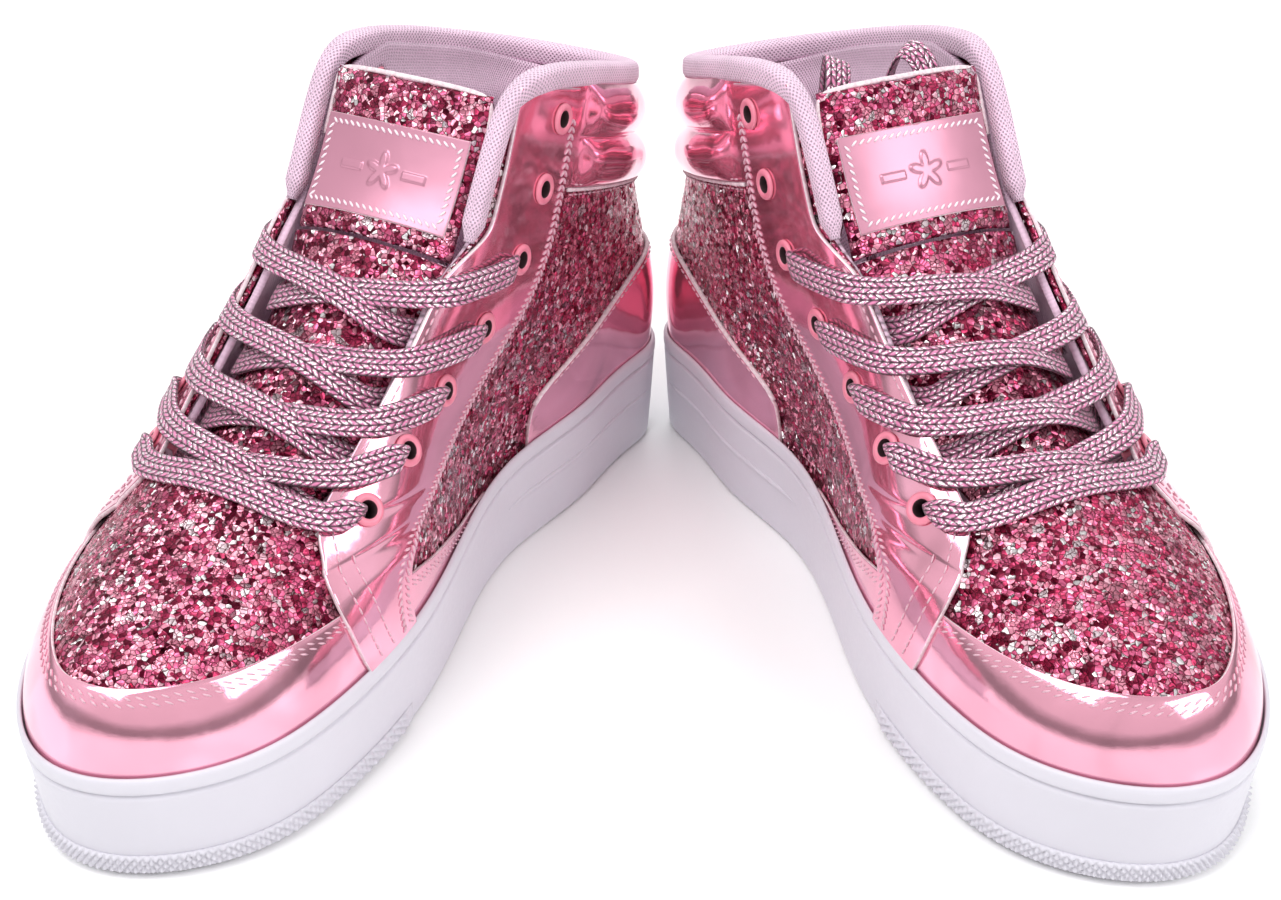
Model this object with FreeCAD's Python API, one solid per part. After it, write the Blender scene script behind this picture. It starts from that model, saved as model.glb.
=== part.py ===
"""Pair of platform high-top lace-up cheer shoes, built as separate pieces.

Each shoe is drawn in its own frame (x heel to toe, y towards the outer side,
z up, sole on z = 0) and then stood on the floor in the shared frame, heels
together and toes out.  Units are millimetres.
"""
import FreeCAD
import Part
import math
import os

V = FreeCAD.Vector

# ---- driving dimensions -------------------------------------------------
LENGTH = 283.0          # length of the upper at the feather line
FEATHER_Z = 31.0        # height at which the upper meets the insole board
WALL_HEEL = 37.5        # height of the sole wall at the heel
WALL_FORE = 34.2        # height of the sole wall at the forefoot
TOE_SHIFT = 4.8         # the toe swings this far to the inner side
HEEL_TOP = 134.0        # height of the collar at the back seam
FLOOR_Z = 6.0           # thickness of rubber under the foam core
BOARD_Z = 28.5          # ledge that carries the insole board
BASE = (-1.5, 0.0)      # glitter layer, from and to, measured off the form
TRIM = (0.2, 1.5)       # metallic overlays
LINING_IN = -4.4        # inner face of the lining
ROLL_RADIUS = 3.6       # padded mesh roll round the collar
LACE_RADIUS = 1.35       # round stand-in for the flat braid
EYELET_BORE = 2.7
EYELET_FLANGE = 4.7
EYELET_BARREL = 3.2
FLAP_HALF = 25.5        # half width of the tilting top of the tongue

# shared frame: toe-out angle and heel position of each shoe
STANCE = {"left": (1, 24.43, 24.05, 108.14), "right": (-1, 28.28, 22.37, 104.07)}
ORIGIN = (-6.05, -23.02)  # centre of the footprint, taken off every position

# plan of the feather line and of the ankle: x, half width outer, inner
PLAN_X = [0.0, 3.0, 8.0, 30.0, 65.0, 105.0, 150.0, 195.0, 235.0, 262.0, 279.0, 283.0]
PLAN_OUTER = [0.0, 14.5, 22.8, 35.2, 37.2, 36.2, 42.8, 47.6, 43.6, 31.2, 13.9, 0.0]
PLAN_INNER = [0.0, 15.5, 24.5, 32.7, 32.8, 29.2, 37.3, 47.6, 45.6, 34.6, 15.4, 0.0]
ANKLE_X = [0.0, 3.0, 8.0, 20.0, 40.0, 65.0, 105.0, 150.0, 195.0]
ANKLE_HALF = [0.0, 14.0, 21.5, 29.0, 33.3, 34.6, 34.8, 35.5, 36.0]
# side view: top line from the toe up the instep, and the back of the heel
TOP_LINE = [(283.0, 31.0), (282.6, 37.0), (281.0, 43.0), (277.0, 51.0), (268.0, 57.3),
            (252.0, 63.0), (230.0, 69.5), (210.0, 77.0), (190.0, 88.0), (170.0, 102.0),
            (153.0, 119.0), (140.0, 135.0), (130.0, 150.0), (122.0, 165.0), (117.0, 176.0)]
HEEL_LINE = [(31.0, 5.5), (38.0, 5.5), (50.0, 2.5), (65.0, 2.0), (85.0, 5.0), (104.0, 8.5),
             (118.0, 9.5), (134.0, 7.5)]
TONGUE_LINE = [(208.0, 71.0), (200.0, 75.5), (190.0, 81.5), (170.0, 94.0), (150.0, 107.5),
               (137.0, 118.0), (128.0, 127.0), (120.0, 138.0), (113.5, 149.0), (109.5, 158.5)]
# eyelet places on one facing: angle round the form, height
EYELETS = [(2.39, 0.333), (2.345, 0.425), (2.19, 0.496), (2.07, 0.585), (1.94, 0.683),
           (1.88, 0.793), (1.82, 0.90)]
LACED_ROWS = 5


# ---- curves -------------------------------------------------------------
def spline(xs, ys):
    """Natural cubic spline through the given points."""
    n = len(xs)
    h = [xs[i + 1] - xs[i] for i in range(n - 1)]
    c = [0.0] * n
    d = [0.0] * n
    for i in range(1, n - 1):
        m = 2.0 * (h[i - 1] + h[i]) - h[i - 1] * c[i - 1]
        c[i] = h[i] / m
        rise = (ys[i + 1] - ys[i]) / h[i] - (ys[i] - ys[i - 1]) / h[i - 1]
        d[i] = (6.0 * rise - h[i - 1] * d[i - 1]) / m
    k = [0.0] * n
    for i in range(n - 2, 0, -1):
        k[i] = d[i] - c[i] * k[i + 1]

    def value(x):
        i = 0
        while i < n - 2 and x > xs[i + 1]:
            i += 1
        a = (xs[i + 1] - x) / h[i]
        b = (x - xs[i]) / h[i]
        curve = (a ** 3 - a) * k[i] + (b ** 3 - b) * k[i + 1]
        return a * ys[i] + b * ys[i + 1] + curve * h[i] ** 2 / 6.0
    return value


def lerp(xs, ys):
    """Straight pieces through the given points, held flat beyond the ends."""
    def value(x):
        if x <= xs[0]:
            return ys[0]
        for i in range(len(xs) - 1):
            if x <= xs[i + 1]:
                return ys[i] + (ys[i + 1] - ys[i]) * (x - xs[i]) / (xs[i + 1] - xs[i])
        return ys[-1]
    return value


def step(a, b, x):
    """Smooth change from 0 at a to 1 at b."""
    t = min(max((x - a) / (b - a), 0.0), 1.0)
    return t * t * (3.0 - 2.0 * t)


def rounded(xs, ys, root):
    """Half width that closes like the end of an ellipse where root is 0."""
    inner = [i for i in range(len(xs)) if ys[i] > 0.0]
    ratio = spline([xs[i] for i in inner], [ys[i] / root(xs[i]) for i in inner])
    low, high = xs[inner[0]], xs[inner[-1]]
    return lambda x: ratio(min(max(x, low), high)) * root(x)


def plan_root(x):
    return math.sqrt(max(x, 0.0)) * math.sqrt(max(LENGTH - x, 0.0)) / 16.0


def ankle_root(x):
    return math.sqrt(max(x, 0.0) / (max(x, 0.0) + 40.0))


PLAN = {1: rounded(PLAN_X, PLAN_OUTER, plan_root), -1: rounded(PLAN_X, PLAN_INNER, plan_root)}
ANKLE = rounded(ANKLE_X, ANKLE_HALF, ankle_root)
ROOTS = [math.sqrt(LENGTH - x) for x, z in TOP_LINE]
top_z = spline(ROOTS, [z for x, z in TOP_LINE])
heel_x = spline([z for z, x in HEEL_LINE], [x for z, x in HEEL_LINE])


def arc_shares(points):
    """Share of the total length reached at each point."""
    run = [0.0]
    for (x0, z0), (x1, z1) in zip(points, points[1:]):
        run.append(run[-1] + math.hypot(x1 - x0, z1 - z0))
    return [r / run[-1] for r in run]


root_at = spline(arc_shares(TOP_LINE), ROOTS)


# ---- the form: surface of the upper --------------------------------------
def half_width(x, z, side):
    xb = heel_x(min(z, HEEL_TOP))
    xs = (x - xb) * LENGTH / (LENGTH - xb)
    ridge = 176.0 + 2.2 * (117.0 - x)
    if x > 117.0:
        ridge = top_z(math.sqrt(max(LENGTH - x, 0.0)))
    t = min(max((z - FEATHER_Z) / max(ridge - FEATHER_Z, 1e-6), 0.0), 1.0)
    k = step(105.0, 215.0, x)
    low = 1.9 if side > 0 else 2.3
    a = 6.0 * (1.0 - k) + low * k
    b = 2.6 * (1.0 - k) + low * k
    m = step(40.0, 100.0, z) * (1.0 - step(130.0, 190.0, x))
    w = PLAN[side](xs) * (1.0 - m) + ANKLE(xs) * m
    return w * (1.0 - t ** a) ** (1.0 / b)


def form(psi, v):
    """Point of the form: psi 0 at the back seam, pi on the top line, outer
    side positive; v 0 at the feather line, 1 at the top of the collar."""
    side = 1 if psi >= 0.0 else -1
    q = abs(psi)
    if q > math.pi:
        q = 2.0 * math.pi - q
        side = -side
    r = root_at(v)
    xf = LENGTH - r * r
    zf = top_z(r)
    zb = FEATHER_Z + (zf - FEATHER_Z) * (HEEL_TOP - FEATHER_Z) / (176.0 - FEATHER_Z)
    xb = heel_x(zb)
    f = (1.0 - math.cos(q)) / 2.0
    x = xb + (xf - xb) * f
    z = zb + (zf - zb) * f
    y = side * half_width(x, z, side) - TOE_SHIFT * step(190.0, LENGTH, x)
    return V(x, y, z)


def normal(psi, v):
    e = 0.004
    v0 = max(v - e, 0.0)
    v1 = min(v + e, 1.0)
    across = form(psi + e, v) - form(psi - e, v)
    upward = form(psi, v1) - form(psi, v0)
    n = upward.cross(across)
    return n.normalize()


def skin(psi, v, off):
    return form(psi, v) + normal(psi, v) * off


# ---- solids -------------------------------------------------------------
def closed_solid(faces):
    shell = Part.Shell(faces)
    shell.sewShape()
    solid = Part.Solid(shell)
    if solid.Volume < 0.0:
        solid.reverse()
    return solid


def curve_through(points):
    curve = Part.BSplineCurve()
    curve.interpolate(Points=points, Parameters=[float(k) for k in range(len(points))])
    return curve


def surface_through(grid):
    """Smooth surface through a grid of points, evenly spaced in both senses."""
    rows = [curve_through(row) for row in grid]
    poles = [row.getPoles() for row in rows]
    columns = [curve_through([p[k] for p in poles]) for k in range(len(poles[0]))]
    net = [column.getPoles() for column in columns]
    net = [[column[i] for column in net] for i in range(len(net[0]))]
    surface = Part.BSplineSurface()
    surface.buildFromPolesMultsKnots(net, columns[0].getMultiplicities(), rows[0].getMultiplicities(),
                                     columns[0].getKnots(), rows[0].getKnots(), False, False, 3, 3)
    return surface


def bridge(first, second):
    """Narrow edge face between two matching curves."""
    surface = Part.BSplineSurface()
    net = [first.getPoles(), second.getPoles()]
    surface.buildFromPolesMultsKnots(net, [2, 2], first.getMultiplicities(), [0.0, 1.0], first.getKnots(),
                                     False, False, 1, 3)
    return surface.toShape()


def slab(outer, inner):
    """Solid between two matching grids of points."""
    surfaces = [surface_through(grid) for grid in (outer, inner)]
    faces = [s.toShape() for s in surfaces]
    u0, u1, v0, v1 = surfaces[0].bounds()
    for u in (u0, u1):
        faces.append(bridge(*[s.uIso(u) for s in surfaces]))
    for v in (v0, v1):
        faces.append(bridge(*[s.vIso(v) for s in surfaces]))
    return closed_solid(faces)


def panel(psi_from, psi_to, v_low, v_high, offsets, count=(21, 9)):
    """Piece of the upper: the edges are functions, the faces are offsets."""
    grids = ([], [])
    for i in range(count[0]):
        u = i / (count[0] - 1.0)
        rows = ([], [])
        for j in range(count[1]):
            w = j / (count[1] - 1.0)
            v = v_low(u) + (v_high(u) - v_low(u)) * w
            psi = psi_from(v) + (psi_to(v) - psi_from(v)) * u
            low, high = offsets(psi, v, u, w)
            rows[0].append(skin(psi, v, high))
            rows[1].append(skin(psi, v, low))
        grids[0].append(rows[0])
        grids[1].append(rows[1])
    return slab(grids[0], grids[1])


def outline(offset, height, count=96):
    """Closed loop round the feather line; height may depend on x."""
    points = []
    for i in range(count):
        psi = -math.pi + 2.0 * math.pi * (i + 0.5) / count
        a = form(psi - 0.02, 0.0)
        b = form(psi + 0.02, 0.0)
        along = b - a
        out = V(along.y, -along.x, 0.0).normalize() * (-1.0)
        p = form(psi, 0.0)
        out = out if out.dot(p - V(LENGTH / 2.0, 0.0, p.z)) > 0.0 else out * (-1.0)
        x = p.x + out.x * offset
        z = height(x) if callable(height) else height
        points.append(V(x, p.y + out.y * offset, z))
    curve = Part.BSplineCurve()
    curve.interpolate(Points=points, PeriodicFlag=True)
    return curve.toShape()


def plate(offset, z0, z1):
    face = Part.Face(Part.Wire([outline(offset, z0)]))
    return face.extrude(V(0.0, 0.0, z1 - z0))


def wall_top(x):
    return WALL_HEEL + (WALL_FORE - WALL_HEEL) * step(70.0, 190.0, x)


def make_outsole():
    below = lambda drop: (lambda x: wall_top(x) - drop)
    rows = [(-1.2, 0.0), (0.4, 0.6), (0.75, 2.0), (1.5, 12.0), (2.3, 24.0), (2.75, below(6.4)),
            (1.9, below(5.9)), (1.9, below(5.1)), (2.85, below(4.6)), (3.05, below(1.4)),
            (2.5, below(0.2)), (1.65, below(0.0)), (1.65, BOARD_Z), (-3.0, BOARD_Z),
            (-3.0, FLOOR_Z)]
    loops = [outline(offset, height) for offset, height in rows]
    faces = [Part.makeRuledSurface(a, b) for a, b in zip(loops, loops[1:])]
    faces.append(Part.Face(Part.Wire([loops[0]])))
    faces.append(Part.Face(Part.Wire([loops[-1]])))
    sole = closed_solid(faces)
    grooves = []
    for x in list(range(30, 96, 13)) + list(range(150, 262, 12)):
        grooves.append(Part.makeBox(3.0, 60.0, 2.5, V(x, -31.0, -1.0)))
    return sole.cut(Part.makeCompound(grooves))


def pipe(path, radius):
    """Round tube along a wire."""
    edge = path.Edges[0]
    start = edge.valueAt(edge.FirstParameter)
    tangent = edge.tangentAt(edge.FirstParameter)
    ring = Part.Wire([Part.makeCircle(radius, start, tangent)])
    return path.makePipeShell([ring], True, True)


def bent_wire(points, name):
    """Straight runs joined by tangent arcs; the radii are printed."""
    edges = []
    start = points[0]
    radii = []
    for i in range(1, len(points) - 1):
        a, b, c = points[i - 1], points[i], points[i + 1]
        back = (a - b)
        on = (c - b)
        shorter = min(back.Length, on.Length)
        back.normalize()
        on.normalize()
        turn = math.pi - back.getAngle(on)
        if turn < 0.02:
            continue
        reach = 0.45 * shorter
        radii.append(reach / math.tan(turn / 2.0))
        p = b + back * reach
        q = b + on * reach
        bisector = (back + on).normalize()
        height = radii[-1] / math.cos(turn / 2.0) - radii[-1]
        edges.append(Part.LineSegment(start, p).toShape())
        edges.append(Part.Arc(p, b + bisector * height, q).toShape())
        start = q
    edges.append(Part.LineSegment(start, points[-1]).toShape())
    wire = Part.Wire(edges)
    print(name, "length %.0f" % wire.Length, "radii", " ".join("%.1f" % r for r in radii))
    return wire


def cord(points, radius, name):
    wire = bent_wire(points, name)
    solid = pipe(wire, radius)
    print(name, "volume share %.3f" % (solid.Volume / (math.pi * radius ** 2 * wire.Length)))
    return solid


# ---- edges of the pattern pieces ------------------------------------------
flat = lambda value: (lambda x: value)
FRONT_EDGE = lerp([0.0, 0.103, 0.249, 0.347, 0.40, 0.456, 0.553, 0.659, 0.70, 0.735, 0.75, 0.94],
                  [2.10, 2.195, 2.414, 2.60, 2.635, 2.64, 2.59, 2.52, 2.50, 2.36, 2.33, 2.33])
REAR_SEAM = lerp([0.0, 0.061, 0.181, 0.335, 0.43, 0.524, 0.60, 0.698, 0.967],
                 [1.91, 1.94, 1.964, 1.932, 1.87, 1.80, 1.73, 1.68, 1.67])
QUARTER_EDGE = lerp([0.0, 0.103, 0.249, 0.36, 0.42, 0.456, 0.553, 0.659, 0.70, 0.735, 0.75, 0.94],
                    [2.0, 2.07, 2.27, 2.47, 2.60, 2.62, 2.57, 2.50, 2.48, 2.34, 2.31, 2.31])
LINING_EDGE = lerp([0.0, 0.103, 0.249, 0.36, 0.42, 0.456, 0.553, 0.659, 0.69, 0.73, 0.80, 0.94],
                   [2.0, 2.07, 2.27, 2.47, 2.60, 2.62, 2.57, 2.50, 2.45, 2.31, 2.30, 2.24])
MUDGUARD_TOP = lerp([1.45, 1.61, 1.887, 2.05, 2.20, 3.1416], [0.018, 0.03, 0.078, 0.098, 0.106, 0.112])
COLLAR_SEAM = lerp([0.0, 0.66, 0.92, 1.64], [0.70, 0.722, 0.738, 0.78])
ROLL_PATH = [(2.43, 0.745), (2.445, 0.79), (2.445, 0.84), (2.42, 0.885), (2.36, 0.918), (2.24, 0.938),
             (2.05, 0.952), (1.8, 0.962), (1.4, 0.967), (0.9, 0.967), (0.4, 0.967)]
FOXING_END = 1.31
TAU = 2.0 * math.pi


def foxing_top(psi):
    """Top edge of the heel foxing: level round the back, then down to the sole."""
    return 0.49 * (1.0 - (psi / FOXING_END) ** 4.5)


def fold(psi):
    """Distance round the form from the back seam, 0 to pi."""
    q = abs(psi)
    return q if q <= math.pi else TAU - q


def share(edge, start, stop):
    """Edge given by angle, read as a function of the share along it."""
    return lambda u: edge(fold(start + (stop - start) * u))


def lining_outer(psi, v):
    q = fold(psi)
    heel = (1.0 - step(1.12, 1.3, q)) * (1.0 - step(0.45, 0.52, v))
    toe = step(2.25, 2.38, q) * (1.0 - step(0.17, 0.22, v))
    return -1.7 - 1.4 * (heel + toe)


def lining_top(u):
    """Upper edge of the lining, just under the mesh roll."""
    q = abs(2.0 * u - 1.0)
    return 0.918 + 0.022 * step(0.0, 0.55, q) - 0.055 * step(0.78, 1.0, q)


def collar_puff(psi, v, u, w):
    q = abs(2.0 * u - 1.0)
    swell = 3.6 * abs(math.sin(2.0 * math.pi * w)) ** 0.8 * (1.0 - step(0.88, 1.0, q))
    return TRIM[0], TRIM[1] + swell


def eyestay_lift(psi, v, u, w):
    high = TRIM[1] + 1.15 * (1.0 - step(0.13, 0.20, v))
    return high - (TRIM[1] - TRIM[0]), high


# ---- tongue ---------------------------------------------------------------
TONGUE_SHARES = arc_shares(TONGUE_LINE)
tongue_x = spline(TONGUE_SHARES, [x for x, z in TONGUE_LINE])
tongue_z = spline(TONGUE_SHARES, [z for x, z in TONGUE_LINE])
HINGE_SHARE = TONGUE_SHARES[5]


def tongue(s, y, off):
    """Point of the tongue: s from the vamp to the top edge, y across."""
    e = 0.01
    along = V(tongue_x(s + e) - tongue_x(s - e), 0.0, tongue_z(s + e) - tongue_z(s - e))
    out = V(-along.z, 0.0, along.x).normalize() * (-1.0)
    drop = 14.0 - 10.0 * step(0.45, 0.72, s)
    back = drop * (abs(y) / 27.0) ** 2.2
    return V(tongue_x(s), y, tongue_z(s)) + out * (off - back)


def tongue_slab(s0, s1, half, offsets, count=(11, 9)):
    grids = ([], [])
    for i in range(count[0]):
        s = s0 + (s1 - s0) * i / (count[0] - 1.0)
        for grid, off in zip(grids, offsets):
            row = []
            for j in range(count[1]):
                row.append(tongue(s, half(s) * (2.0 * j / (count[1] - 1.0) - 1.0), off))
            grid.append(row)
    return slab(grids[0], grids[1])


# ---- eyelets and lace -------------------------------------------------------
def eyelet(psi, v):
    p = form(psi, v)
    n = normal(psi, v)
    top = TRIM[1]
    low = LINING_IN
    profile = [(EYELET_BORE, low - 0.9), (EYELET_FLANGE - 0.4, low - 0.9), (EYELET_FLANGE - 0.4, low - 0.5),
               (EYELET_BARREL, low - 0.5), (EYELET_BARREL, top + 0.15), (EYELET_FLANGE, top + 0.15),
               (EYELET_FLANGE, top + 0.7), (EYELET_FLANGE - 0.8, top + 1.15), (EYELET_BORE, top + 1.15)]
    points = [V(r, 0.0, h) for r, h in profile]
    ring = Part.Face(Part.makePolygon(points + points[:1])).revolve(V(), V(0.0, 0.0, 1.0), 360.0)
    ring.Placement = FreeCAD.Placement(p, FreeCAD.Rotation(V(0.0, 0.0, 1.0), n))
    return ring


def bore(psi, v):
    n = normal(psi, v)
    return Part.makeCylinder(EYELET_BARREL + 0.15, 16.0, form(psi, v) - n * 9.0, n)


def over_tongue(point, y, off):
    """Place over the tongue at the height of a point, off from its surface."""
    nearest = min(range(201), key=lambda k: math.hypot(tongue_x(k / 200.0) - point.x,
                                                       tongue_z(k / 200.0) - point.z))
    return tongue(nearest / 200.0, y, off)


def over_facing(side, row, psi, v):
    """Strand lying on a facing, from its front edge to the top of an eyelet."""
    hole_psi, hole_v = EYELETS[row]
    points = [skin(side * (psi + 0.02), v, 4.7)]
    if (skin(side * hole_psi, hole_v, 0.0) - skin(side * psi, v, 0.0)).Length > 15.0:
        points.append(skin(side * (hole_psi + psi) / 2.0, (hole_v + v) / 2.0, 4.7))
    points.append(skin(side * hole_psi, hole_v, 5.4))
    return points


def lace_route(top_side):
    """Criss-cross route from one fifth eyelet down to the bar and up again: each
    strand comes out from under one facing and runs over the other one."""
    sides = {}
    for first in (1, -1):
        route = over_facing(first, 0, FRONT_EDGE(EYELETS[0][1]), EYELETS[0][1])
        side = first
        for row in range(LACED_ROWS - 1):
            psi, v = EYELETS[row]
            rise = EYELETS[row + 1][1] - v
            route.append(skin(side * psi, v, -7.6))
            low = v + 0.28 * rise
            mouth = skin(side * FRONT_EDGE(low), low, -6.3)
            high = v + 0.84 * rise
            landing = over_facing(-side, row + 1, FRONT_EDGE(high), high)
            middle = (mouth + landing[0]) * 0.5
            over = 5.6 if side == top_side else 2.4
            low_side = over_tongue(mouth * 0.75 + landing[0] * 0.25, side * 13.0, 3.0)
            route += [mouth, low_side, over_tongue(middle, 0.0, over)] + landing
            side = -side
        route.append(skin(side * EYELETS[LACED_ROWS - 1][0], EYELETS[LACED_ROWS - 1][1], -7.6))
        sides[first] = route
    bar = (sides[1][0] + sides[-1][0]) * 0.5 + V(2.0, 0.0, 6.5)
    return list(reversed(sides[1])) + [bar] + sides[-1]


def tail_route(start, before, side, peak):
    run = (start - before).normalize()
    return [start, start + run * 7.0, V(103.0, side * 19.0, 121.0), V(98.0, side * 15.0, peak),
            V(84.0, side * 9.0, peak - 2.0), V(80.0, side * 8.0, 62.0), V(128.0, side * 12.0, 46.0)]


# ---- one shoe ---------------------------------------------------------------
def biggest(shape):
    """The panel itself, without the crumbs a trimming cut leaves."""
    return max(shape.Solids, key=lambda solid: solid.Volume)


def build_shoe(top_side, peak):
    nodes = {}
    nodes["outsole"] = make_outsole()
    nodes["foam_core"] = plate(-3.3, FLOOR_Z + 0.2, BOARD_Z - 0.2)
    nodes["insole_board"] = plate(1.3, BOARD_Z + 0.1, FEATHER_Z - 0.3)
    nodes["footbed"] = plate(LINING_IN - 0.4, FEATHER_Z - 0.1, FEATHER_Z + 4.9)

    roll_points = [skin(-q, v, -1.4) for q, v in ROLL_PATH]
    roll_points.append(skin(0.0, 0.967, -1.4))
    roll_points += [skin(q, v, -1.4) for q, v in reversed(ROLL_PATH)]
    axis = Part.BSplineCurve()
    axis.interpolate(roll_points)
    spine = Part.Wire([axis.toShape()])
    nodes["collar_roll"] = pipe(spine, ROLL_RADIUS)
    room = pipe(spine, ROLL_RADIUS + 0.12)

    base = lambda psi, v, u, w: BASE
    trim = lambda psi, v, u, w: TRIM
    vamp_edge = lambda v: QUARTER_EDGE(v) + 0.012
    vamp_far = lambda v: TAU - vamp_edge(v)
    throat = lambda u: 0.355 + 0.045 * math.sin(math.pi * u)
    top = lambda u: 0.925 + 0.02 * math.sin(math.pi * min(1.0, 1.15 * u))
    nodes["vamp"] = panel(vamp_edge, vamp_far, flat(0.0), throat, base, (33, 9))
    nodes["vamp_lining"] = panel(vamp_edge, vamp_far, flat(0.0), throat,
                                 lambda psi, v, u, w: (LINING_IN, lining_outer(psi, v)), (33, 13))
    nodes["quarter_lining"] = panel(lambda v: -LINING_EDGE(v), LINING_EDGE, flat(0.0), lining_top,
                                    lambda psi, v, u, w: (LINING_IN, lining_outer(psi, v)), (49, 25))
    nodes["heel_counter"] = panel(flat(-1.08), flat(1.08), flat(0.01), flat(0.43),
                                  lambda psi, v, u, w: (-2.9, -1.75), (21, 9))
    nodes["toe_puff"] = panel(flat(2.42), flat(TAU - 2.42), flat(0.01), flat(0.155),
                              lambda psi, v, u, w: (-2.9, -1.75), (21, 7))
    nodes["toe_mudguard"] = panel(flat(1.45), flat(TAU - 1.45), flat(0.0),
                                  share(MUDGUARD_TOP, 1.45, TAU - 1.45),
                                  lambda psi, v, u, w: (0.4, 1.3), (49, 5))
    nodes["heel_foxing"] = panel(flat(-1.25), flat(1.25), flat(0.0), share(foxing_top, -1.25, 1.25),
                                 trim, (45, 9))
    nodes["collar_band"] = panel(flat(-1.64), flat(1.64), share(COLLAR_SEAM, -1.64, 1.64),
                                 lambda u: 0.925 + 0.02 * abs(math.sin(math.pi * (2.0 * u - 1.0) / 2.0)),
                                 collar_puff, (33, 17))
    for side, name in ((1, "outer"), (-1, "inner")):
        nodes[name + "_quarter"] = panel(flat(side * 0.006), lambda v: side * QUARTER_EDGE(v), flat(0.0), top,
                                         base, (25, 25))
        nodes[name + "_eyestay"] = panel(lambda v: side * REAR_SEAM(v), lambda v: side * FRONT_EDGE(v),
                                         flat(0.03), flat(0.945), eyestay_lift, (9, 33))
        nodes[name + "_eyelets"] = Part.makeCompound([eyelet(side * q, v) for q, v in EYELETS])

    for name in ("collar_band", "outer_quarter", "inner_quarter", "outer_eyestay",
                 "inner_eyestay"):
        nodes[name] = biggest(nodes[name].cut(room))
    bores = {side: Part.makeCompound([bore(side * q, v) for q, v in EYELETS]) for side in (1, -1)}
    rooms = []
    for side in (1, -1):
        q, v = EYELETS[0]
        n = normal(side * q, v)
        rooms.append(Part.makeCylinder(EYELET_FLANGE + 0.2, 6.0, form(side * q, v) - n * 7.0, n))
    nodes["vamp_lining"] = biggest(nodes["vamp_lining"].cut(Part.makeCompound(rooms)))
    for name in ("outer_quarter", "outer_eyestay", "quarter_lining"):
        nodes[name] = nodes[name].cut(bores[1])
    for name in ("inner_quarter", "inner_eyestay", "quarter_lining"):
        nodes[name] = nodes[name].cut(bores[-1])

    width = lambda s: 22.0 + 1.2 * step(0.0, 0.25, s)
    nodes["tongue"] = tongue_slab(0.0, HINGE_SHARE - 0.006, width, (0.0, -3.5), (17, 11))
    nodes["tongue_flap"] = tongue_slab(HINGE_SHARE + 0.007, 0.985, flat(FLAP_HALF), (0.0, -6.0), (13, 11))
    nodes["tongue_label"] = tongue_slab(HINGE_SHARE + 0.046, HINGE_SHARE + 0.254, flat(24.4), (1.5, 0.15))

    route = lace_route(top_side)
    nodes["lace"] = cord(route, LACE_RADIUS, "lace")
    for side, name, start, before in ((1, "outer", route[0], route[1]), (-1, "inner", route[-1], route[-2])):
        points = tail_route(start, before, side, peak)
        points[0] = points[0] + (points[1] - points[0]).normalize() * 0.1
        nodes[name + "_lace_tail"] = cord(points, LACE_RADIUS, name + " tail")
        run = (points[-1] - points[-2]).normalize()
        nodes[name + "_aglet"] = Part.makeCylinder(1.7, 20.0, points[-1] + run * 0.1, run)
    return nodes


def stand(shape, stance):
    side, angle, hx, hy = stance
    if side < 0:
        shape = shape.mirror(V(), V(0.0, 1.0, 0.0))
    turn = math.radians(angle)
    toe = V(side * math.sin(turn), -math.cos(turn), 0.0)
    left = V(0.0, 0.0, 1.0).cross(toe)
    m = FreeCAD.Matrix(toe.x, left.x, 0.0, side * hx - ORIGIN[0],
                       toe.y, left.y, 0.0, hy - ORIGIN[1],
                       0.0, 0.0, 1.0, 0.0,
                       0.0, 0.0, 0.0, 1.0)
    shape.Placement = FreeCAD.Placement(m).multiply(shape.Placement)
    return shape


os.makedirs("parts", exist_ok=True)
for shoe, top_side, peak in (("left", 1, 158.0), ("right", -1, 146.0)):
    pieces = build_shoe(top_side, peak)
    for name in sorted(pieces):
        solid = stand(pieces[name], STANCE[shoe])
        if not solid.isValid():
            print("CHECK", shoe, name, "not valid")
        solid.exportStep("parts/%s_%s.step" % (shoe, name))
        print(shoe, name, len(solid.Solids), "%.0f" % solid.Volume, solid.BoundBox)
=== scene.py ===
"""Looks of a pair of platform high-top cheer shoes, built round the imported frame."""

import math

import bmesh
import bpy
import numpy as np
from mathutils import Matrix, Vector


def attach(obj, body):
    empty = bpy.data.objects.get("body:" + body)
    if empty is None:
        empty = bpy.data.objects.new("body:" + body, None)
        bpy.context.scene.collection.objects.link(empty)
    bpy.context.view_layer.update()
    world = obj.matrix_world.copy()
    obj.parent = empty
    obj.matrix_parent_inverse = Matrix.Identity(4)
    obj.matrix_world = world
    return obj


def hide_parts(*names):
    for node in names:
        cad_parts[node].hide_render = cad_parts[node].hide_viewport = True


bl_info = {
    "name": "Cheer Shoes",
    "version": (1, 0, 0),
    "blender": (4, 5, 0),
    "location": "View3D > Sidebar > Cheer Shoes",
    "description": "Builds the uppers, soles, laces and trims of a pair of cheer shoes",
    "category": "Add Mesh",
}

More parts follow.
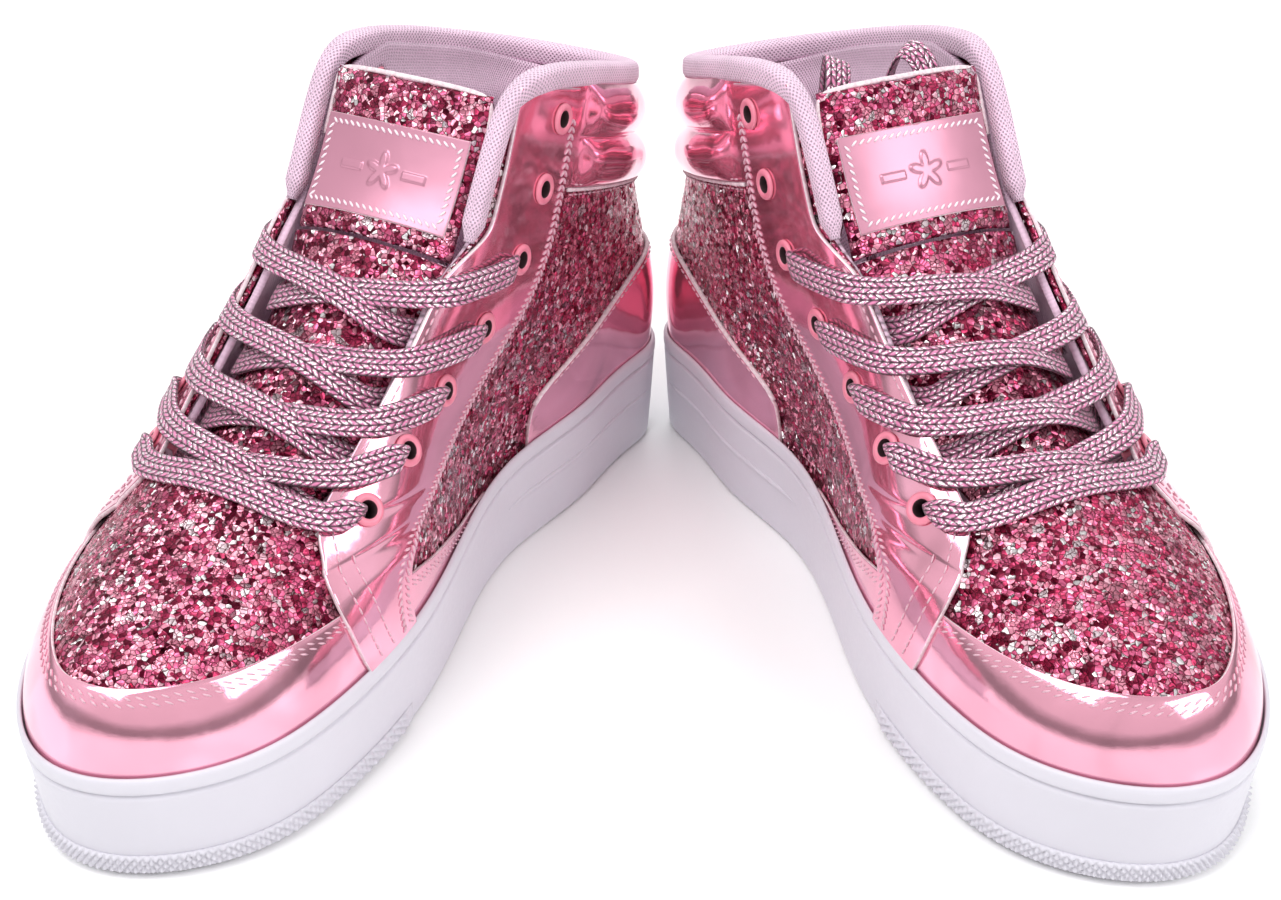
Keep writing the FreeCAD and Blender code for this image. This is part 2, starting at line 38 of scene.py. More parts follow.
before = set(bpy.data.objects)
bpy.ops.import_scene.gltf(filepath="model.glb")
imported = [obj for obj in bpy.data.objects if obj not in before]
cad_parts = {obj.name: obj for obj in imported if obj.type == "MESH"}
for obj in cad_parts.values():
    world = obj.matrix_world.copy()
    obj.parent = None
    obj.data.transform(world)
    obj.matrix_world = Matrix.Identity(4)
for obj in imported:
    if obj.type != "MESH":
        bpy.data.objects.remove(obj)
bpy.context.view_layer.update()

# ---- shape of the shoe, in millimetres in the shoe's own frame ---------------
LENGTH = 283.0
FEATHER_Z = 31.0
WALL_HEEL = 37.5
WALL_FORE = 34.2
TOE_SHIFT = 4.8
HEEL_TOP = 134.0
LINING_IN = -4.4
TAU = 2.0 * math.pi
ORIGIN = (-6.05, -23.02)
STANCE = {"left": (1, 24.43, 24.05, 108.14), "right": (-1, 28.28, 22.37, 104.07)}
OVER_STRAND = {"left": 1, "right": -1}
TAIL_PEAK = {"left": 158.0, "right": 146.0}

PLAN_X = [0.0, 3.0, 8.0, 30.0, 65.0, 105.0, 150.0, 195.0, 235.0, 262.0, 279.0, 283.0]
PLAN_OUTER = [0.0, 14.5, 22.8, 35.2, 37.2, 36.2, 42.8, 47.6, 43.6, 31.2, 13.9, 0.0]
PLAN_INNER = [0.0, 15.5, 24.5, 32.7, 32.8, 29.2, 37.3, 47.6, 45.6, 34.6, 15.4, 0.0]
ANKLE_X = [0.0, 3.0, 8.0, 20.0, 40.0, 65.0, 105.0, 150.0, 195.0]
ANKLE_HALF = [0.0, 14.0, 21.5, 29.0, 33.3, 34.6, 34.8, 35.5, 36.0]
TOP_LINE = [(283.0, 31.0), (282.6, 37.0), (281.0, 43.0), (277.0, 51.0), (268.0, 57.3),
            (252.0, 63.0), (230.0, 69.5), (210.0, 77.0), (190.0, 88.0), (170.0, 102.0),
            (153.0, 119.0), (140.0, 135.0), (130.0, 150.0), (122.0, 165.0), (117.0, 176.0)]
HEEL_LINE = [(31.0, 5.5), (38.0, 5.5), (50.0, 2.5), (65.0, 2.0), (85.0, 5.0), (104.0, 8.5),
             (118.0, 9.5), (134.0, 7.5)]
TONGUE_LINE = [(208.0, 71.0), (200.0, 75.5), (190.0, 81.5), (170.0, 94.0), (150.0, 107.5),
               (137.0, 118.0), (128.0, 127.0), (120.0, 138.0), (113.5, 149.0), (109.5, 158.5)]
EYELETS = [(2.39, 0.333), (2.345, 0.425), (2.19, 0.496), (2.07, 0.585), (1.94, 0.683),
           (1.88, 0.793), (1.82, 0.90)]
LACED_ROWS = 5
ROLL_PATH = [(2.36, 0.735), (2.37, 0.79), (2.365, 0.84), (2.34, 0.885), (2.28, 0.920), (2.18, 0.940),
             (2.05, 0.952), (1.8, 0.962), (1.4, 0.967), (0.9, 0.967), (0.4, 0.967)]


def spline(xs, ys):
    """Natural cubic spline through the points, read for whole arrays at once."""
    xs, ys = np.array(xs, float), np.array(ys, float)
    n = len(xs)
    h = np.diff(xs)
    a = np.eye(n)
    b = np.zeros(n)
    for i in range(1, n - 1):
        a[i, i - 1:i + 2] = h[i - 1], 2.0 * (h[i - 1] + h[i]), h[i]
        b[i] = 6.0 * ((ys[i + 1] - ys[i]) / h[i] - (ys[i] - ys[i - 1]) / h[i - 1])
    k = np.linalg.solve(a, b)

    def value(x):
        x = np.asarray(x, float)
        i = np.clip(np.searchsorted(xs, x) - 1, 0, n - 2)
        p = (xs[i + 1] - x) / h[i]
        q = (x - xs[i]) / h[i]
        curve = (p ** 3 - p) * k[i] + (q ** 3 - q) * k[i + 1]
        return p * ys[i] + q * ys[i + 1] + curve * h[i] ** 2 / 6.0
    return value


def lerp(xs, ys):
    return lambda x: np.interp(x, xs, ys)


def step(a, b, x):
    t = np.clip((np.asarray(x, float) - a) / (b - a), 0.0, 1.0)
    return t * t * (3.0 - 2.0 * t)


def rounded(xs, ys, root):
    inner = [i for i in range(len(xs)) if ys[i] > 0.0]
    ratio = spline([xs[i] for i in inner], [ys[i] / root(xs[i]) for i in inner])
    low, high = xs[inner[0]], xs[inner[-1]]
    return lambda x: ratio(np.clip(x, low, high)) * root(x)


def plan_root(x):
    return np.sqrt(np.maximum(x, 0.0)) * np.sqrt(np.maximum(LENGTH - x, 0.0)) / 16.0


def ankle_root(x):
    return np.sqrt(np.maximum(x, 0.0) / (np.maximum(x, 0.0) + 40.0))


def arc_shares(points):
    run = np.r_[0.0, np.cumsum(np.hypot(*np.diff(np.array(points), axis=0).T))]
    return run / run[-1]


PLAN = {1: rounded(PLAN_X, PLAN_OUTER, plan_root), -1: rounded(PLAN_X, PLAN_INNER, plan_root)}
ANKLE = rounded(ANKLE_X, ANKLE_HALF, ankle_root)
ROOTS = [math.sqrt(LENGTH - x) for x, z in TOP_LINE]
top_z = spline(ROOTS, [z for x, z in TOP_LINE])
heel_x = spline([z for z, x in HEEL_LINE], [x for z, x in HEEL_LINE])
root_at = spline(arc_shares(TOP_LINE), ROOTS)
TONGUE_SHARES = arc_shares(TONGUE_LINE)
tongue_x = spline(TONGUE_SHARES, [x for x, z in TONGUE_LINE])
tongue_z = spline(TONGUE_SHARES, [z for x, z in TONGUE_LINE])
HINGE_SHARE = float(TONGUE_SHARES[5])


def half_width(x, z, side):
    xb = heel_x(np.minimum(z, HEEL_TOP))
    xs = (x - xb) * LENGTH / (LENGTH - xb)
    ridge = np.where(x > 117.0, top_z(np.sqrt(np.maximum(LENGTH - x, 0.0))), 176.0 + 2.2 * (117.0 - x))
    t = np.clip((z - FEATHER_Z) / np.maximum(ridge - FEATHER_Z, 1e-6), 0.0, 1.0)
    k = step(105.0, 215.0, x)
    low = np.where(side > 0, 1.9, 2.3)
    a = 6.0 * (1.0 - k) + low * k
    b = 2.6 * (1.0 - k) + low * k
    m = step(40.0, 100.0, z) * (1.0 - step(130.0, 190.0, x))
    plan = np.where(side > 0, PLAN[1](xs), PLAN[-1](xs))
    return (plan * (1.0 - m) + ANKLE(xs) * m) * (1.0 - t ** a) ** (1.0 / b)


def form(psi, v):
    """Surface of the upper: psi runs round from the back seam, v up from the sole."""
    psi, v = np.broadcast_arrays(np.asarray(psi, float), np.asarray(v, float))
    over = np.abs(psi) > math.pi
    q = np.where(over, TAU - np.abs(psi), np.abs(psi))
    side = np.where((psi >= 0.0) != over, 1.0, -1.0)
    r = root_at(v)
    xf = LENGTH - r * r
    zf = top_z(r)
    zb = FEATHER_Z + (zf - FEATHER_Z) * (HEEL_TOP - FEATHER_Z) / (176.0 - FEATHER_Z)
    xb = heel_x(zb)
    f = (1.0 - np.cos(q)) / 2.0
    x = xb + (xf - xb) * f
    z = zb + (zf - zb) * f
    y = side * half_width(x, z, side) - TOE_SHIFT * step(190.0, LENGTH, x)
    return np.stack([x, y, z], -1)


def unit(a):
    return a / np.maximum(np.linalg.norm(a, axis=-1, keepdims=True), 1e-9)


def normal(psi, v):
    e = 0.004
    across = form(np.asarray(psi) + e, v) - form(np.asarray(psi) - e, v)
    upward = form(psi, np.minimum(np.asarray(v) + e, 1.0)) - form(psi, np.maximum(np.asarray(v) - e, 0.0))
    return unit(np.cross(upward, across))


def skin(psi, v, off):
    return form(psi, v) + normal(psi, v) * np.asarray(off, float)[..., None]


def fold(psi):
    q = np.abs(psi)
    return np.where(q <= math.pi, q, TAU - q)


def tongue(s, y, off):
    """Surface of the tongue: s up from the vamp, y across."""
    s, y, off = np.broadcast_arrays(np.asarray(s, float), np.asarray(y, float), np.asarray(off, float))
    e = 0.01
    dx = tongue_x(s + e) - tongue_x(s - e)
    dz = tongue_z(s + e) - tongue_z(s - e)
    run = np.hypot(dx, dz)
    drop = (14.0 - 10.0 * step(0.45, 0.72, s)) * (np.abs(y) / 27.0) ** 2.2
    reach = off - drop
    return np.stack([tongue_x(s) + dz / run * reach, y, tongue_z(s) - dx / run * reach], -1)


# ---- edges of the pattern pieces ---------------------------------------------
def flat(value):
    return lambda x: value + 0.0 * np.asarray(x, float)


FRONT_EDGE = lerp([0.0, 0.103, 0.249, 0.347, 0.40, 0.456, 0.553, 0.659, 0.70, 0.735, 0.75, 0.94],
                  [2.10, 2.195, 2.414, 2.60, 2.635, 2.64, 2.59, 2.52, 2.49, 2.30, 2.26, 2.26])
REAR_SEAM = lerp([0.0, 0.061, 0.181, 0.335, 0.43, 0.524, 0.60, 0.698, 0.967],
                 [1.91, 1.94, 1.964, 1.932, 1.87, 1.80, 1.73, 1.68, 1.67])
QUARTER_EDGE = lerp([0.0, 0.103, 0.249, 0.36, 0.42, 0.456, 0.553, 0.659, 0.70, 0.735, 0.75, 0.94],
                    [2.0, 2.07, 2.27, 2.47, 2.60, 2.62, 2.57, 2.50, 2.48, 2.34, 2.31, 2.31])
LINING_EDGE = lerp([0.0, 0.103, 0.249, 0.36, 0.42, 0.456, 0.553, 0.659, 0.69, 0.73, 0.80, 0.94],
                   [2.0, 2.07, 2.27, 2.47, 2.60, 2.62, 2.57, 2.50, 2.45, 2.31, 2.30, 2.24])
MUDGUARD_TOP = lerp([1.45, 1.61, 1.887, 2.05, 2.20, 3.1416], [0.018, 0.03, 0.078, 0.098, 0.106, 0.112])
COLLAR_SEAM = lerp([0.0, 0.66, 0.92, 1.64], [0.70, 0.722, 0.738, 0.78])
FOXING_END = 1.31


def foxing_top(psi):
    return 0.49 * (1.0 - (np.abs(psi) / FOXING_END) ** 4.5)


def wall_top(x):
    return WALL_HEEL + (WALL_FORE - WALL_HEEL) * step(70.0, 190.0, x)


# ---- settings ------------------------------------------------------------------
class CheerShoeSizes(bpy.types.PropertyGroup):
    lace_width: bpy.props.FloatProperty(
        name="Lace width", description="Width of the flat braid", default=0.0085, min=0.004, max=0.012,
        unit="LENGTH", subtype="DISTANCE")
    lace_thickness: bpy.props.FloatProperty(
        name="Lace thickness", description="Thickness of the flat braid", default=0.0017, min=0.0008,
        max=0.004, unit="LENGTH", subtype="DISTANCE")
    stitch_length: bpy.props.FloatProperty(
        name="Stitch length", description="Length of one stitch", default=0.0028, min=0.001, max=0.006,
        unit="LENGTH", subtype="DISTANCE")
    flake: bpy.props.FloatProperty(
        name="Glitter flake", description="Usual width of a glitter flake", default=0.0018, min=0.0005,
        max=0.004, unit="LENGTH", subtype="DISTANCE")
    relief: bpy.props.FloatProperty(
        name="Glitter relief", description="Height of the glitter layer's bumps", default=0.00035, min=0.0,
        max=0.001, unit="LENGTH", subtype="DISTANCE")


class CheerShoeColours(bpy.types.PropertyGroup):
    metal: bpy.props.FloatVectorProperty(
        name="Metallic film", description="Tint of the mirror-like overlays", size=3, subtype="COLOR",
        min=0.0, max=1.0, default=(0.86, 0.40, 0.52))
    glitter: bpy.props.FloatVectorProperty(
        name="Glitter", description="Middle tone of the glitter flakes", size=3, subtype="COLOR",
        min=0.0, max=1.0, default=(0.66, 0.12, 0.25))
    mesh: bpy.props.FloatVectorProperty(
        name="Mesh", description="Knitted mesh of the collar and lining", size=3, subtype="COLOR",
        min=0.0, max=1.0, default=(0.94, 0.66, 0.84))
    lace: bpy.props.FloatVectorProperty(
        name="Lace", description="Yarn of the braided lace", size=3, subtype="COLOR",
        min=0.0, max=1.0, default=(0.40, 0.12, 0.23))
    sole: bpy.props.FloatVectorProperty(
        name="Sole", description="White rubber of the sole", size=3, subtype="COLOR",
        min=0.0, max=1.0, default=(0.67, 0.65, 0.715))
    eyelet: bpy.props.FloatVectorProperty(
        name="Eyelet", description="Coating of the eyelets", size=3, subtype="COLOR",
        min=0.0, max=1.0, default=(0.86, 0.26, 0.36))


def sizes():
    return bpy.context.scene.cheer_shoe_sizes


def colours():
    return bpy.context.scene.cheer_shoe_colours


# ---- node helpers ----------------------------------------------------------------
class Finish:
    """Small helper that lays out one material's nodes."""

    def __init__(self, name):
        self.mat = bpy.data.materials.new(name)
        self.mat.use_nodes = True
        self.tree = self.mat.node_tree
        self.shader = self.tree.nodes["Principled BSDF"]

    def node(self, kind, inputs=None, **settings):
        n = self.tree.nodes.new(kind)
        for key, value in settings.items():
            setattr(n, key, value)
        for key, value in (inputs or {}).items():
            self.feed(n.inputs[key], value)
        return n

    def feed(self, socket, value):
        if isinstance(value, bpy.types.NodeSocket):
            self.tree.links.new(value, socket)
        else:
            socket.default_value = value

    def shade(self, **inputs):
        for key, value in inputs.items():
            self.feed(self.shader.inputs[key.replace("_", " ")], value)
        return self.mat

    def place(self):
        return self.node("ShaderNodeTexCoord").outputs["Object"]

    def cloth_place(self, scale):
        uv = self.node("ShaderNodeTexCoord").outputs["UV"]
        return self.node("ShaderNodeMapping", {"Vector": uv, "Scale": scale}).outputs["Vector"]

    def maths(self, operation, a, b=0.0, c=0.0):
        n = self.node("ShaderNodeMath", {0: a, 1: b, 2: c}, operation=operation)
        return n.outputs[0]

    def ramp(self, factor, stops, mode="LINEAR"):
        n = self.node("ShaderNodeValToRGB", {"Fac": factor})
        n.color_ramp.interpolation = mode
        while len(n.color_ramp.elements) < len(stops):
            n.color_ramp.elements.new(0.5)
        for element, (position, colour) in zip(n.color_ramp.elements, stops):
            element.position = position
            element.color = (*colour, 1.0)
        return n.outputs["Color"]

    def noise(self, scale, detail=2.0, place=None, roughness=0.5):
        return self.node("ShaderNodeTexNoise", {"Vector": place or self.place(), "Scale": scale,
                                                "Detail": detail, "Roughness": roughness}).outputs["Fac"]

    def bump(self, height, distance, strength=1.0, under=None):
        inputs = {"Height": height, "Distance": distance, "Strength": strength}
        if under:
            inputs["Normal"] = under
        return self.node("ShaderNodeBump", inputs).outputs["Normal"]

    def mix(self, factor, a, b, blend="MIX"):
        n = self.node("ShaderNodeMix", {0: factor}, data_type="RGBA", blend_type=blend)
        self.feed(n.inputs[6], a if isinstance(a, bpy.types.NodeSocket) else (*a, 1.0))
        self.feed(n.inputs[7], b if isinstance(b, bpy.types.NodeSocket) else (*b, 1.0))
        return n.outputs[2]


def tint(colour, gain):
    return tuple(min(1.0, c * gain) for c in colour)


def metallic_film():
    m = Finish("metallic_film")
    base = tuple(colours().metal)
    soft = m.noise(22.0, 1.0)
    creases = m.noise(70.0, 3.0)
    # painted reflection: warped noise clouds darken the film's colour to 0.76 and brighten it to 1.22 times its
    # tint, standing in for reflections of the room
    painted_reflection = m.node("ShaderNodeTexNoise", {"Vector": m.place(), "Scale": 24.0, "Detail": 2.0,
                                          "Distortion": 1.2}).outputs["Fac"]
    colour = m.ramp(painted_reflection, [(0.33, tint(base, 0.76)), (0.42, tint(base, 0.95)), (0.56, tint(base, 1.04)),
                            (0.68, tint(base, 1.22))])
    first = m.bump(soft, 0.0035, 0.55)
    second = m.bump(creases, 0.0005, 0.35, first)
    grain = m.bump(m.noise(2600.0, 2.0), 0.00002, 0.4, second)
    rough = m.ramp(m.noise(140.0, 3.0), [(0.35, (0.06,) * 3), (0.75, (0.13,) * 3)])
    return m.shade(Base_Color=colour, Metallic=0.88, Roughness=rough, Normal=grain)


def cut_edge():
    m = Finish("cut_edge")
    colour = m.ramp(m.noise(900.0), [(0.35, (0.72, 0.55, 0.60)), (0.7, (0.90, 0.80, 0.83))])
    return m.shade(Base_Color=colour, Roughness=0.55, Normal=m.bump(m.noise(2500.0), 0.0001, 0.5))


def glitter_cloth():
    m = Finish("glitter_cloth")
    base = tuple(colours().glitter)
    scale = 1.25 / sizes().flake
    wobble = m.node("ShaderNodeTexNoise", {"Vector": m.place(), "Scale": 900.0, "Detail": 1.0}).outputs["Color"]
    spread = m.node("ShaderNodeVectorMath", {0: wobble, 1: (0.0005, 0.0005, 0.0005)}, operation="MULTIPLY")
    place = m.node("ShaderNodeVectorMath", {0: m.place(), 1: spread.outputs[0]}, operation="ADD").outputs[0]
    flakes = m.node("ShaderNodeTexVoronoi", {"Vector": place, "Scale": scale, "Randomness": 1.0})
    chips = m.node("ShaderNodeTexVoronoi", {"Vector": place, "Scale": scale * 0.55, "Randomness": 1.0})
    edge = m.node("ShaderNodeTexVoronoi", {"Vector": place, "Scale": scale, "Randomness": 1.0},
                  feature="DISTANCE_TO_EDGE")
    pick = m.node("ShaderNodeSeparateColor", {"Color": flakes.outputs["Color"]}).outputs
    pick_chip = m.node("ShaderNodeSeparateColor", {"Color": chips.outputs["Color"]}).outputs
    deep = (0.17, 0.004, 0.03)
    rose = (0.45, 0.03, 0.10)
    light = (0.92, 0.34, 0.47)
    small = m.ramp(pick[0], [(0.0, deep), (0.17, rose), (0.34, base), (0.54, light), (0.80, (0.98, 0.55, 0.66)),
                             (0.92, (1.0, 0.95, 0.97))], "CONSTANT")
    big = m.ramp(pick_chip[0], [(0.0, rose), (0.25, tint(base, 1.1)), (0.55, light), (0.86, (1.0, 0.85, 0.90))],
                 "CONSTANT")
    where = m.maths("GREATER_THAN", pick_chip[1], 0.74)
    colour = m.mix(where, small, big)
    gap = m.ramp(edge.outputs["Distance"], [(0.02, (0.0,) * 3), (0.10, (1.0,) * 3)])
    colour = m.mix(gap, (0.10, 0.006, 0.02), colour)
    tilt = m.mix(where, flakes.outputs["Color"], chips.outputs["Color"])
    lean = m.node("ShaderNodeVectorMath", {0: tilt, 1: (0.5, 0.5, 0.5)}, operation="SUBTRACT").outputs[0]
    lean = m.node("ShaderNodeVectorMath", {0: lean, 1: (1.25, 1.25, 1.25)}, operation="MULTIPLY").outputs[0]
    face = m.node("ShaderNodeNewGeometry").outputs["Normal"]
    facing = m.node("ShaderNodeVectorMath", {0: face, 1: lean}, operation="ADD").outputs[0]
    facing = m.node("ShaderNodeVectorMath", {0: facing}, operation="NORMALIZE").outputs[0]
    sparkle = m.bump(edge.outputs["Distance"], 0.0006, 0.5, facing)
    rough = m.ramp(pick[2], [(0.0, (0.14,) * 3), (1.0, (0.36,) * 3)])
    metal = m.ramp(pick[1], [(0.0, (0.55,) * 3), (1.0, (0.95,) * 3)])
    return m.shade(Base_Color=colour, Metallic=metal, Roughness=rough, Normal=sparkle)


def knitted_mesh():
    m = Finish("knitted_mesh")
    base = tuple(colours().mesh)
    place = m.cloth_place((620.0, 620.0, 1.0))
    apart = m.node("ShaderNodeSeparateXYZ", {"Vector": place}).outputs
    a = m.maths("SINE", m.maths("MULTIPLY", m.maths("ADD", apart[0], apart[1]), math.pi))
    b = m.maths("SINE", m.maths("MULTIPLY", m.maths("SUBTRACT", apart[0], apart[1]), math.pi))
    lattice = m.maths("MULTIPLY", m.maths("ABSOLUTE", a), m.maths("ABSOLUTE", b))
    yarn = m.noise(5200.0, 2.0)
    height = m.maths("MULTIPLY_ADD", yarn, 0.25, m.maths("SUBTRACT", 1.0, m.maths("POWER", lattice, 2.2)))
    # painted shade: the mesh colour darkens towards the middle of each knit hole, in the recesses
    holes = m.ramp(lattice, [(0.30, tint(base, 1.0)), (0.78, tint(base, 0.80)), (0.97, tint(base, 0.42))])
    shade = m.ramp(m.noise(60.0, 3.0), [(0.3, (0.86,) * 3), (0.7, (1.0,) * 3)])
    colour = m.mix(1.0, holes, shade, "MULTIPLY")
    return m.shade(Base_Color=colour, Roughness=0.72, Sheen_Weight=0.35, Sheen_Roughness=0.4,
                   Normal=m.bump(height, 0.0006, 0.85))


def braided_yarn():
    m = Finish("braided_yarn")
    base = tuple(colours().lace)
    apart = m.node("ShaderNodeSeparateXYZ", {"Vector": m.cloth_place((1.0, 1.0, 1.0))}).outputs
    plait = m.maths("MULTIPLY", apart[1], 560.0)
    row = m.maths("FRACT", plait)
    hump = m.maths("SINE", m.maths("MULTIPLY", row, math.pi))
    turn = m.maths("MULTIPLY", m.maths("MODULO", m.maths("FLOOR", plait), 2.0), 2.0)
    slant = m.maths("MULTIPLY", m.maths("SUBTRACT", row, 0.5), m.maths("SUBTRACT", turn, 1.0))
    along = m.maths("MULTIPLY_ADD", apart[0], 430.0, m.maths("MULTIPLY", slant, 0.9))
    knot = m.maths("ABSOLUTE", m.maths("SINE", m.maths("MULTIPLY", along, math.pi)))
    height = m.maths("MULTIPLY", m.maths("POWER", hump, 0.6), m.maths("POWER", knot, 0.5))
    fibre = m.noise(7000.0, 2.0)
    # painted shade and highlight: the yarn goes near black in the grooves between the plaits and twice as bright on
    # their tops, following the braid's height
    tone = m.ramp(height, [(0.18, tint(base, 0.05)), (0.46, tint(base, 0.7)), (0.92, tint(base, 2.0))])
    glint = m.noise(1300.0, 1.0)
    thread = m.maths("MULTIPLY", m.maths("GREATER_THAN", glint, 0.53), m.maths("GREATER_THAN", height, 0.5))
    colour = m.mix(thread, tone, (0.98, 0.86, 0.91))
    height = m.maths("MULTIPLY_ADD", fibre, 0.15, height)
    return m.shade(Base_Color=colour, Metallic=m.maths("MULTIPLY", thread, 0.85),
                   Roughness=m.maths("MULTIPLY_ADD", thread, -0.35, 0.62), Sheen_Weight=0.25,
                   Normal=m.bump(height, 0.0006, 0.9))


def sole_rubber():
    m = Finish("sole_rubber")
    base = tuple(colours().sole)
    colour = m.ramp(m.noise(14.0, 3.0), [(0.3, tint(base, 0.96)), (0.7, tint(base, 1.03))])
    scuffs = m.noise(600.0, 4.0)
    rough = m.ramp(scuffs, [(0.3, (0.36,) * 3), (0.7, (0.52,) * 3)])
    return m.shade(Base_Color=colour, Roughness=rough, Normal=m.bump(scuffs, 0.00006, 0.5))


def plain_finish(name, colour, rough, metal=0.0, scale=1200.0, depth=0.00004, gain=0.9):
    m = Finish(name)
    tone = m.ramp(m.noise(scale, 3.0), [(0.3, tint(colour, gain)), (0.7, colour)])
    return m.shade(Base_Color=tone, Roughness=rough, Metallic=metal, Normal=m.bump(m.noise(scale, 2.0), depth, 0.5))


FINISHES = {}


def finish(name):
    """The shared finishes, made once each when first asked for."""
    makers = {
        "metallic_film": metallic_film, "cut_edge": cut_edge, "glitter_cloth": glitter_cloth,
        "knitted_mesh": knitted_mesh, "braided_yarn": braided_yarn, "sole_rubber": sole_rubber,
        "eyelet_coat": lambda: plain_finish("eyelet_coat", tuple(colours().eyelet), 0.28, 0.0, 300.0, 0.00001),
        "label_film": lambda: plain_finish("label_film", (0.60, 0.27, 0.37), 0.30, 0.55, 60.0, 0.0004, 0.95),
        "thread": lambda: plain_finish("thread", (0.84, 0.52, 0.62), 0.45, 0.1, 3000.0, 0.0001, 0.72),
        "pale_thread": lambda: plain_finish("pale_thread", (0.96, 0.84, 0.90), 0.5, 0.0, 3000.0, 0.0001, 0.85),
        # painted shade: a near-black finish for the insides of the eyelet bores, where shade falls
        "painted_bore_shade": lambda: plain_finish("painted_bore_shade", (0.03, 0.008, 0.012), 0.8),
        "cord_tip": lambda: plain_finish("cord_tip", (0.80, 0.62, 0.70), 0.2),
        "insole_cloth": lambda: plain_finish("insole_cloth", (0.80, 0.55, 0.66), 0.8, 0.0, 2400.0, 0.0002, 0.8),
        "hidden_board": lambda: plain_finish("hidden_board", (0.62, 0.56, 0.48), 0.8),
        "hidden_foam": lambda: plain_finish("hidden_foam", (0.84, 0.82, 0.84), 0.85, 0.0, 1800.0, 0.0002),
    }
    if name not in FINISHES:
        FINISHES[name] = makers[name]()
    return FINISHES[name]


# ---- mesh helpers ------------------------------------------------------------------
def stance_matrix(shoe):
    side, angle, hx, hy = STANCE[shoe]
    s, c = math.sin(math.radians(angle)), math.cos(math.radians(angle))
    rows = ((side * s, side * c, 0.0, side * hx - ORIGIN[0]), (-c, s, 0.0, hy - ORIGIN[1]),
            (0.0, 0.0, 1.0, 0.0), (0.0, 0.0, 0.0, 1000.0))
    return Matrix([[value / 1000.0 for value in row] for row in rows])


def publish(shoe, name, bm, finishes, body="shoe", node=None, slot=None, smooth=True):
    """Stands a finished mesh in its shoe's place and hangs it on its body."""
    bm = bm.copy()
    bmesh.ops.transform(bm, matrix=stance_matrix(shoe), verts=bm.verts)
    if STANCE[shoe][0] < 0:
        bmesh.ops.reverse_faces(bm, faces=bm.faces)
    mesh = bpy.data.meshes.new("%s_%s" % (shoe, name))
    bm.to_mesh(mesh)
    bm.free()
    for finish_name in finishes:
        mesh.materials.append(finish(finish_name))
    mesh.shade_smooth() if smooth else mesh.shade_flat()
    piece = bpy.data.objects.new(mesh.name, mesh)
    bpy.context.scene.collection.objects.link(piece)
    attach(piece, "%s_%s" % (shoe, body))
    if node:
        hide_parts(*["%s_%s" % (shoe, n) for n in ([node] if isinstance(node, str) else node)])
    return piece


def both(name, bm, finishes, **words):
    pieces = [publish(shoe, name, bm, finishes, **words) for shoe in STANCE]
    bm.free()
    return pieces


def spread(bm, columns, rows, place):
    """Grid whose corners are laid on a surface; place takes shares u and w."""
    bmesh.ops.create_grid(bm, x_segments=columns, y_segments=rows, size=0.5)
    verts = bm.verts[:]
    flat_place = np.array([v.co for v in verts])
    u = np.clip(flat_place[:, 0] + 0.5, 0.0, 1.0)
    w = np.clip(flat_place[:, 1] + 0.5, 0.0, 1.0)
    points = place(u, w)
    for vert, point in zip(verts, points):
        vert.co = point
    layer = bm.loops.layers.uv.new("cloth")
    middle = np.linspace(0.0, 1.0, 200)
    across = place(middle, np.full(200, 0.5))
    upward = place(np.full(200, 0.5), middle)
    runs = [np.r_[0.0, np.cumsum(np.linalg.norm(np.diff(line, axis=0), axis=1))] / 1000.0
            for line in (across, upward)]
    cloth_u = np.interp(u, middle, runs[0])
    cloth_w = np.interp(w, middle, runs[1])
    index = {v: i for i, v in enumerate(verts)}
    for face in bm.faces:
        for loop in face.loops:
            i = index[loop.vert]
            loop[layer].uv = (cloth_u[i], cloth_w[i])
    return verts


def thicken(bm, thickness, edge_round=0.0, edge_material=0, holes=()):
    """Gives a sheet its thickness inwards, with punched holes and a rounded rim."""
    bmesh.ops.recalc_face_normals(bm, faces=bm.faces)
    middle = Vector((120.0, 0.0, 45.0))
    if sum(f.normal.dot(f.calc_center_median() - middle) for f in bm.faces) < 0.0:
        bmesh.ops.reverse_faces(bm, faces=bm.faces)
    border = {v for v in bm.verts if v.is_boundary}
    punched = [f for f in bm.faces if any((f.calc_center_median() - hole).length < 3.9 for hole in holes)]
    bmesh.ops.delete(bm, geom=punched, context="FACES")
    top = set(bm.faces)
    bm.normal_update()
    bmesh.ops.solidify(bm, geom=bm.faces[:], thickness=thickness)
    rim = []
    for edge in bm.edges:
        sides = [f for f in edge.link_faces if f not in top]
        if len(edge.link_faces) == 2 and len(sides) == 1:
            sides[0].material_index = edge_material
            if edge.verts[0] in border and edge.verts[1] in border:
                rim.append(edge)
    if edge_round > 0.0:
        bmesh.ops.bevel(bm, geom=rim, offset=edge_round, offset_type="OFFSET", segments=2, profile=0.5,
                        affect="EDGES", material=-1, clamp_overlap=True)


def upper_panel(psi_from, psi_to, v_low, v_high, outer, thickness, count, edge_round=0.45, holes=()):
    """A pattern piece of the upper, whose outer face lies `outer` above the form."""
    bm = bmesh.new()

    def place(u, w):
        v = v_low(u) + (v_high(u) - v_low(u)) * w
        psi = psi_from(v) + (psi_to(v) - psi_from(v)) * u
        return skin(psi, v, outer(psi, v, u, w))
    spread(bm, count[0], count[1], place)
    thicken(bm, thickness, edge_round, 1, holes)
    return bm


RNG = np.random.RandomState(7)


def glitter_relief(base):
    """Uneven height of glued flakes."""
    height = sizes().relief * 1000.0
    return lambda psi, v, u, w: base + height * (RNG.random_sample(np.shape(psi)) - 0.5)


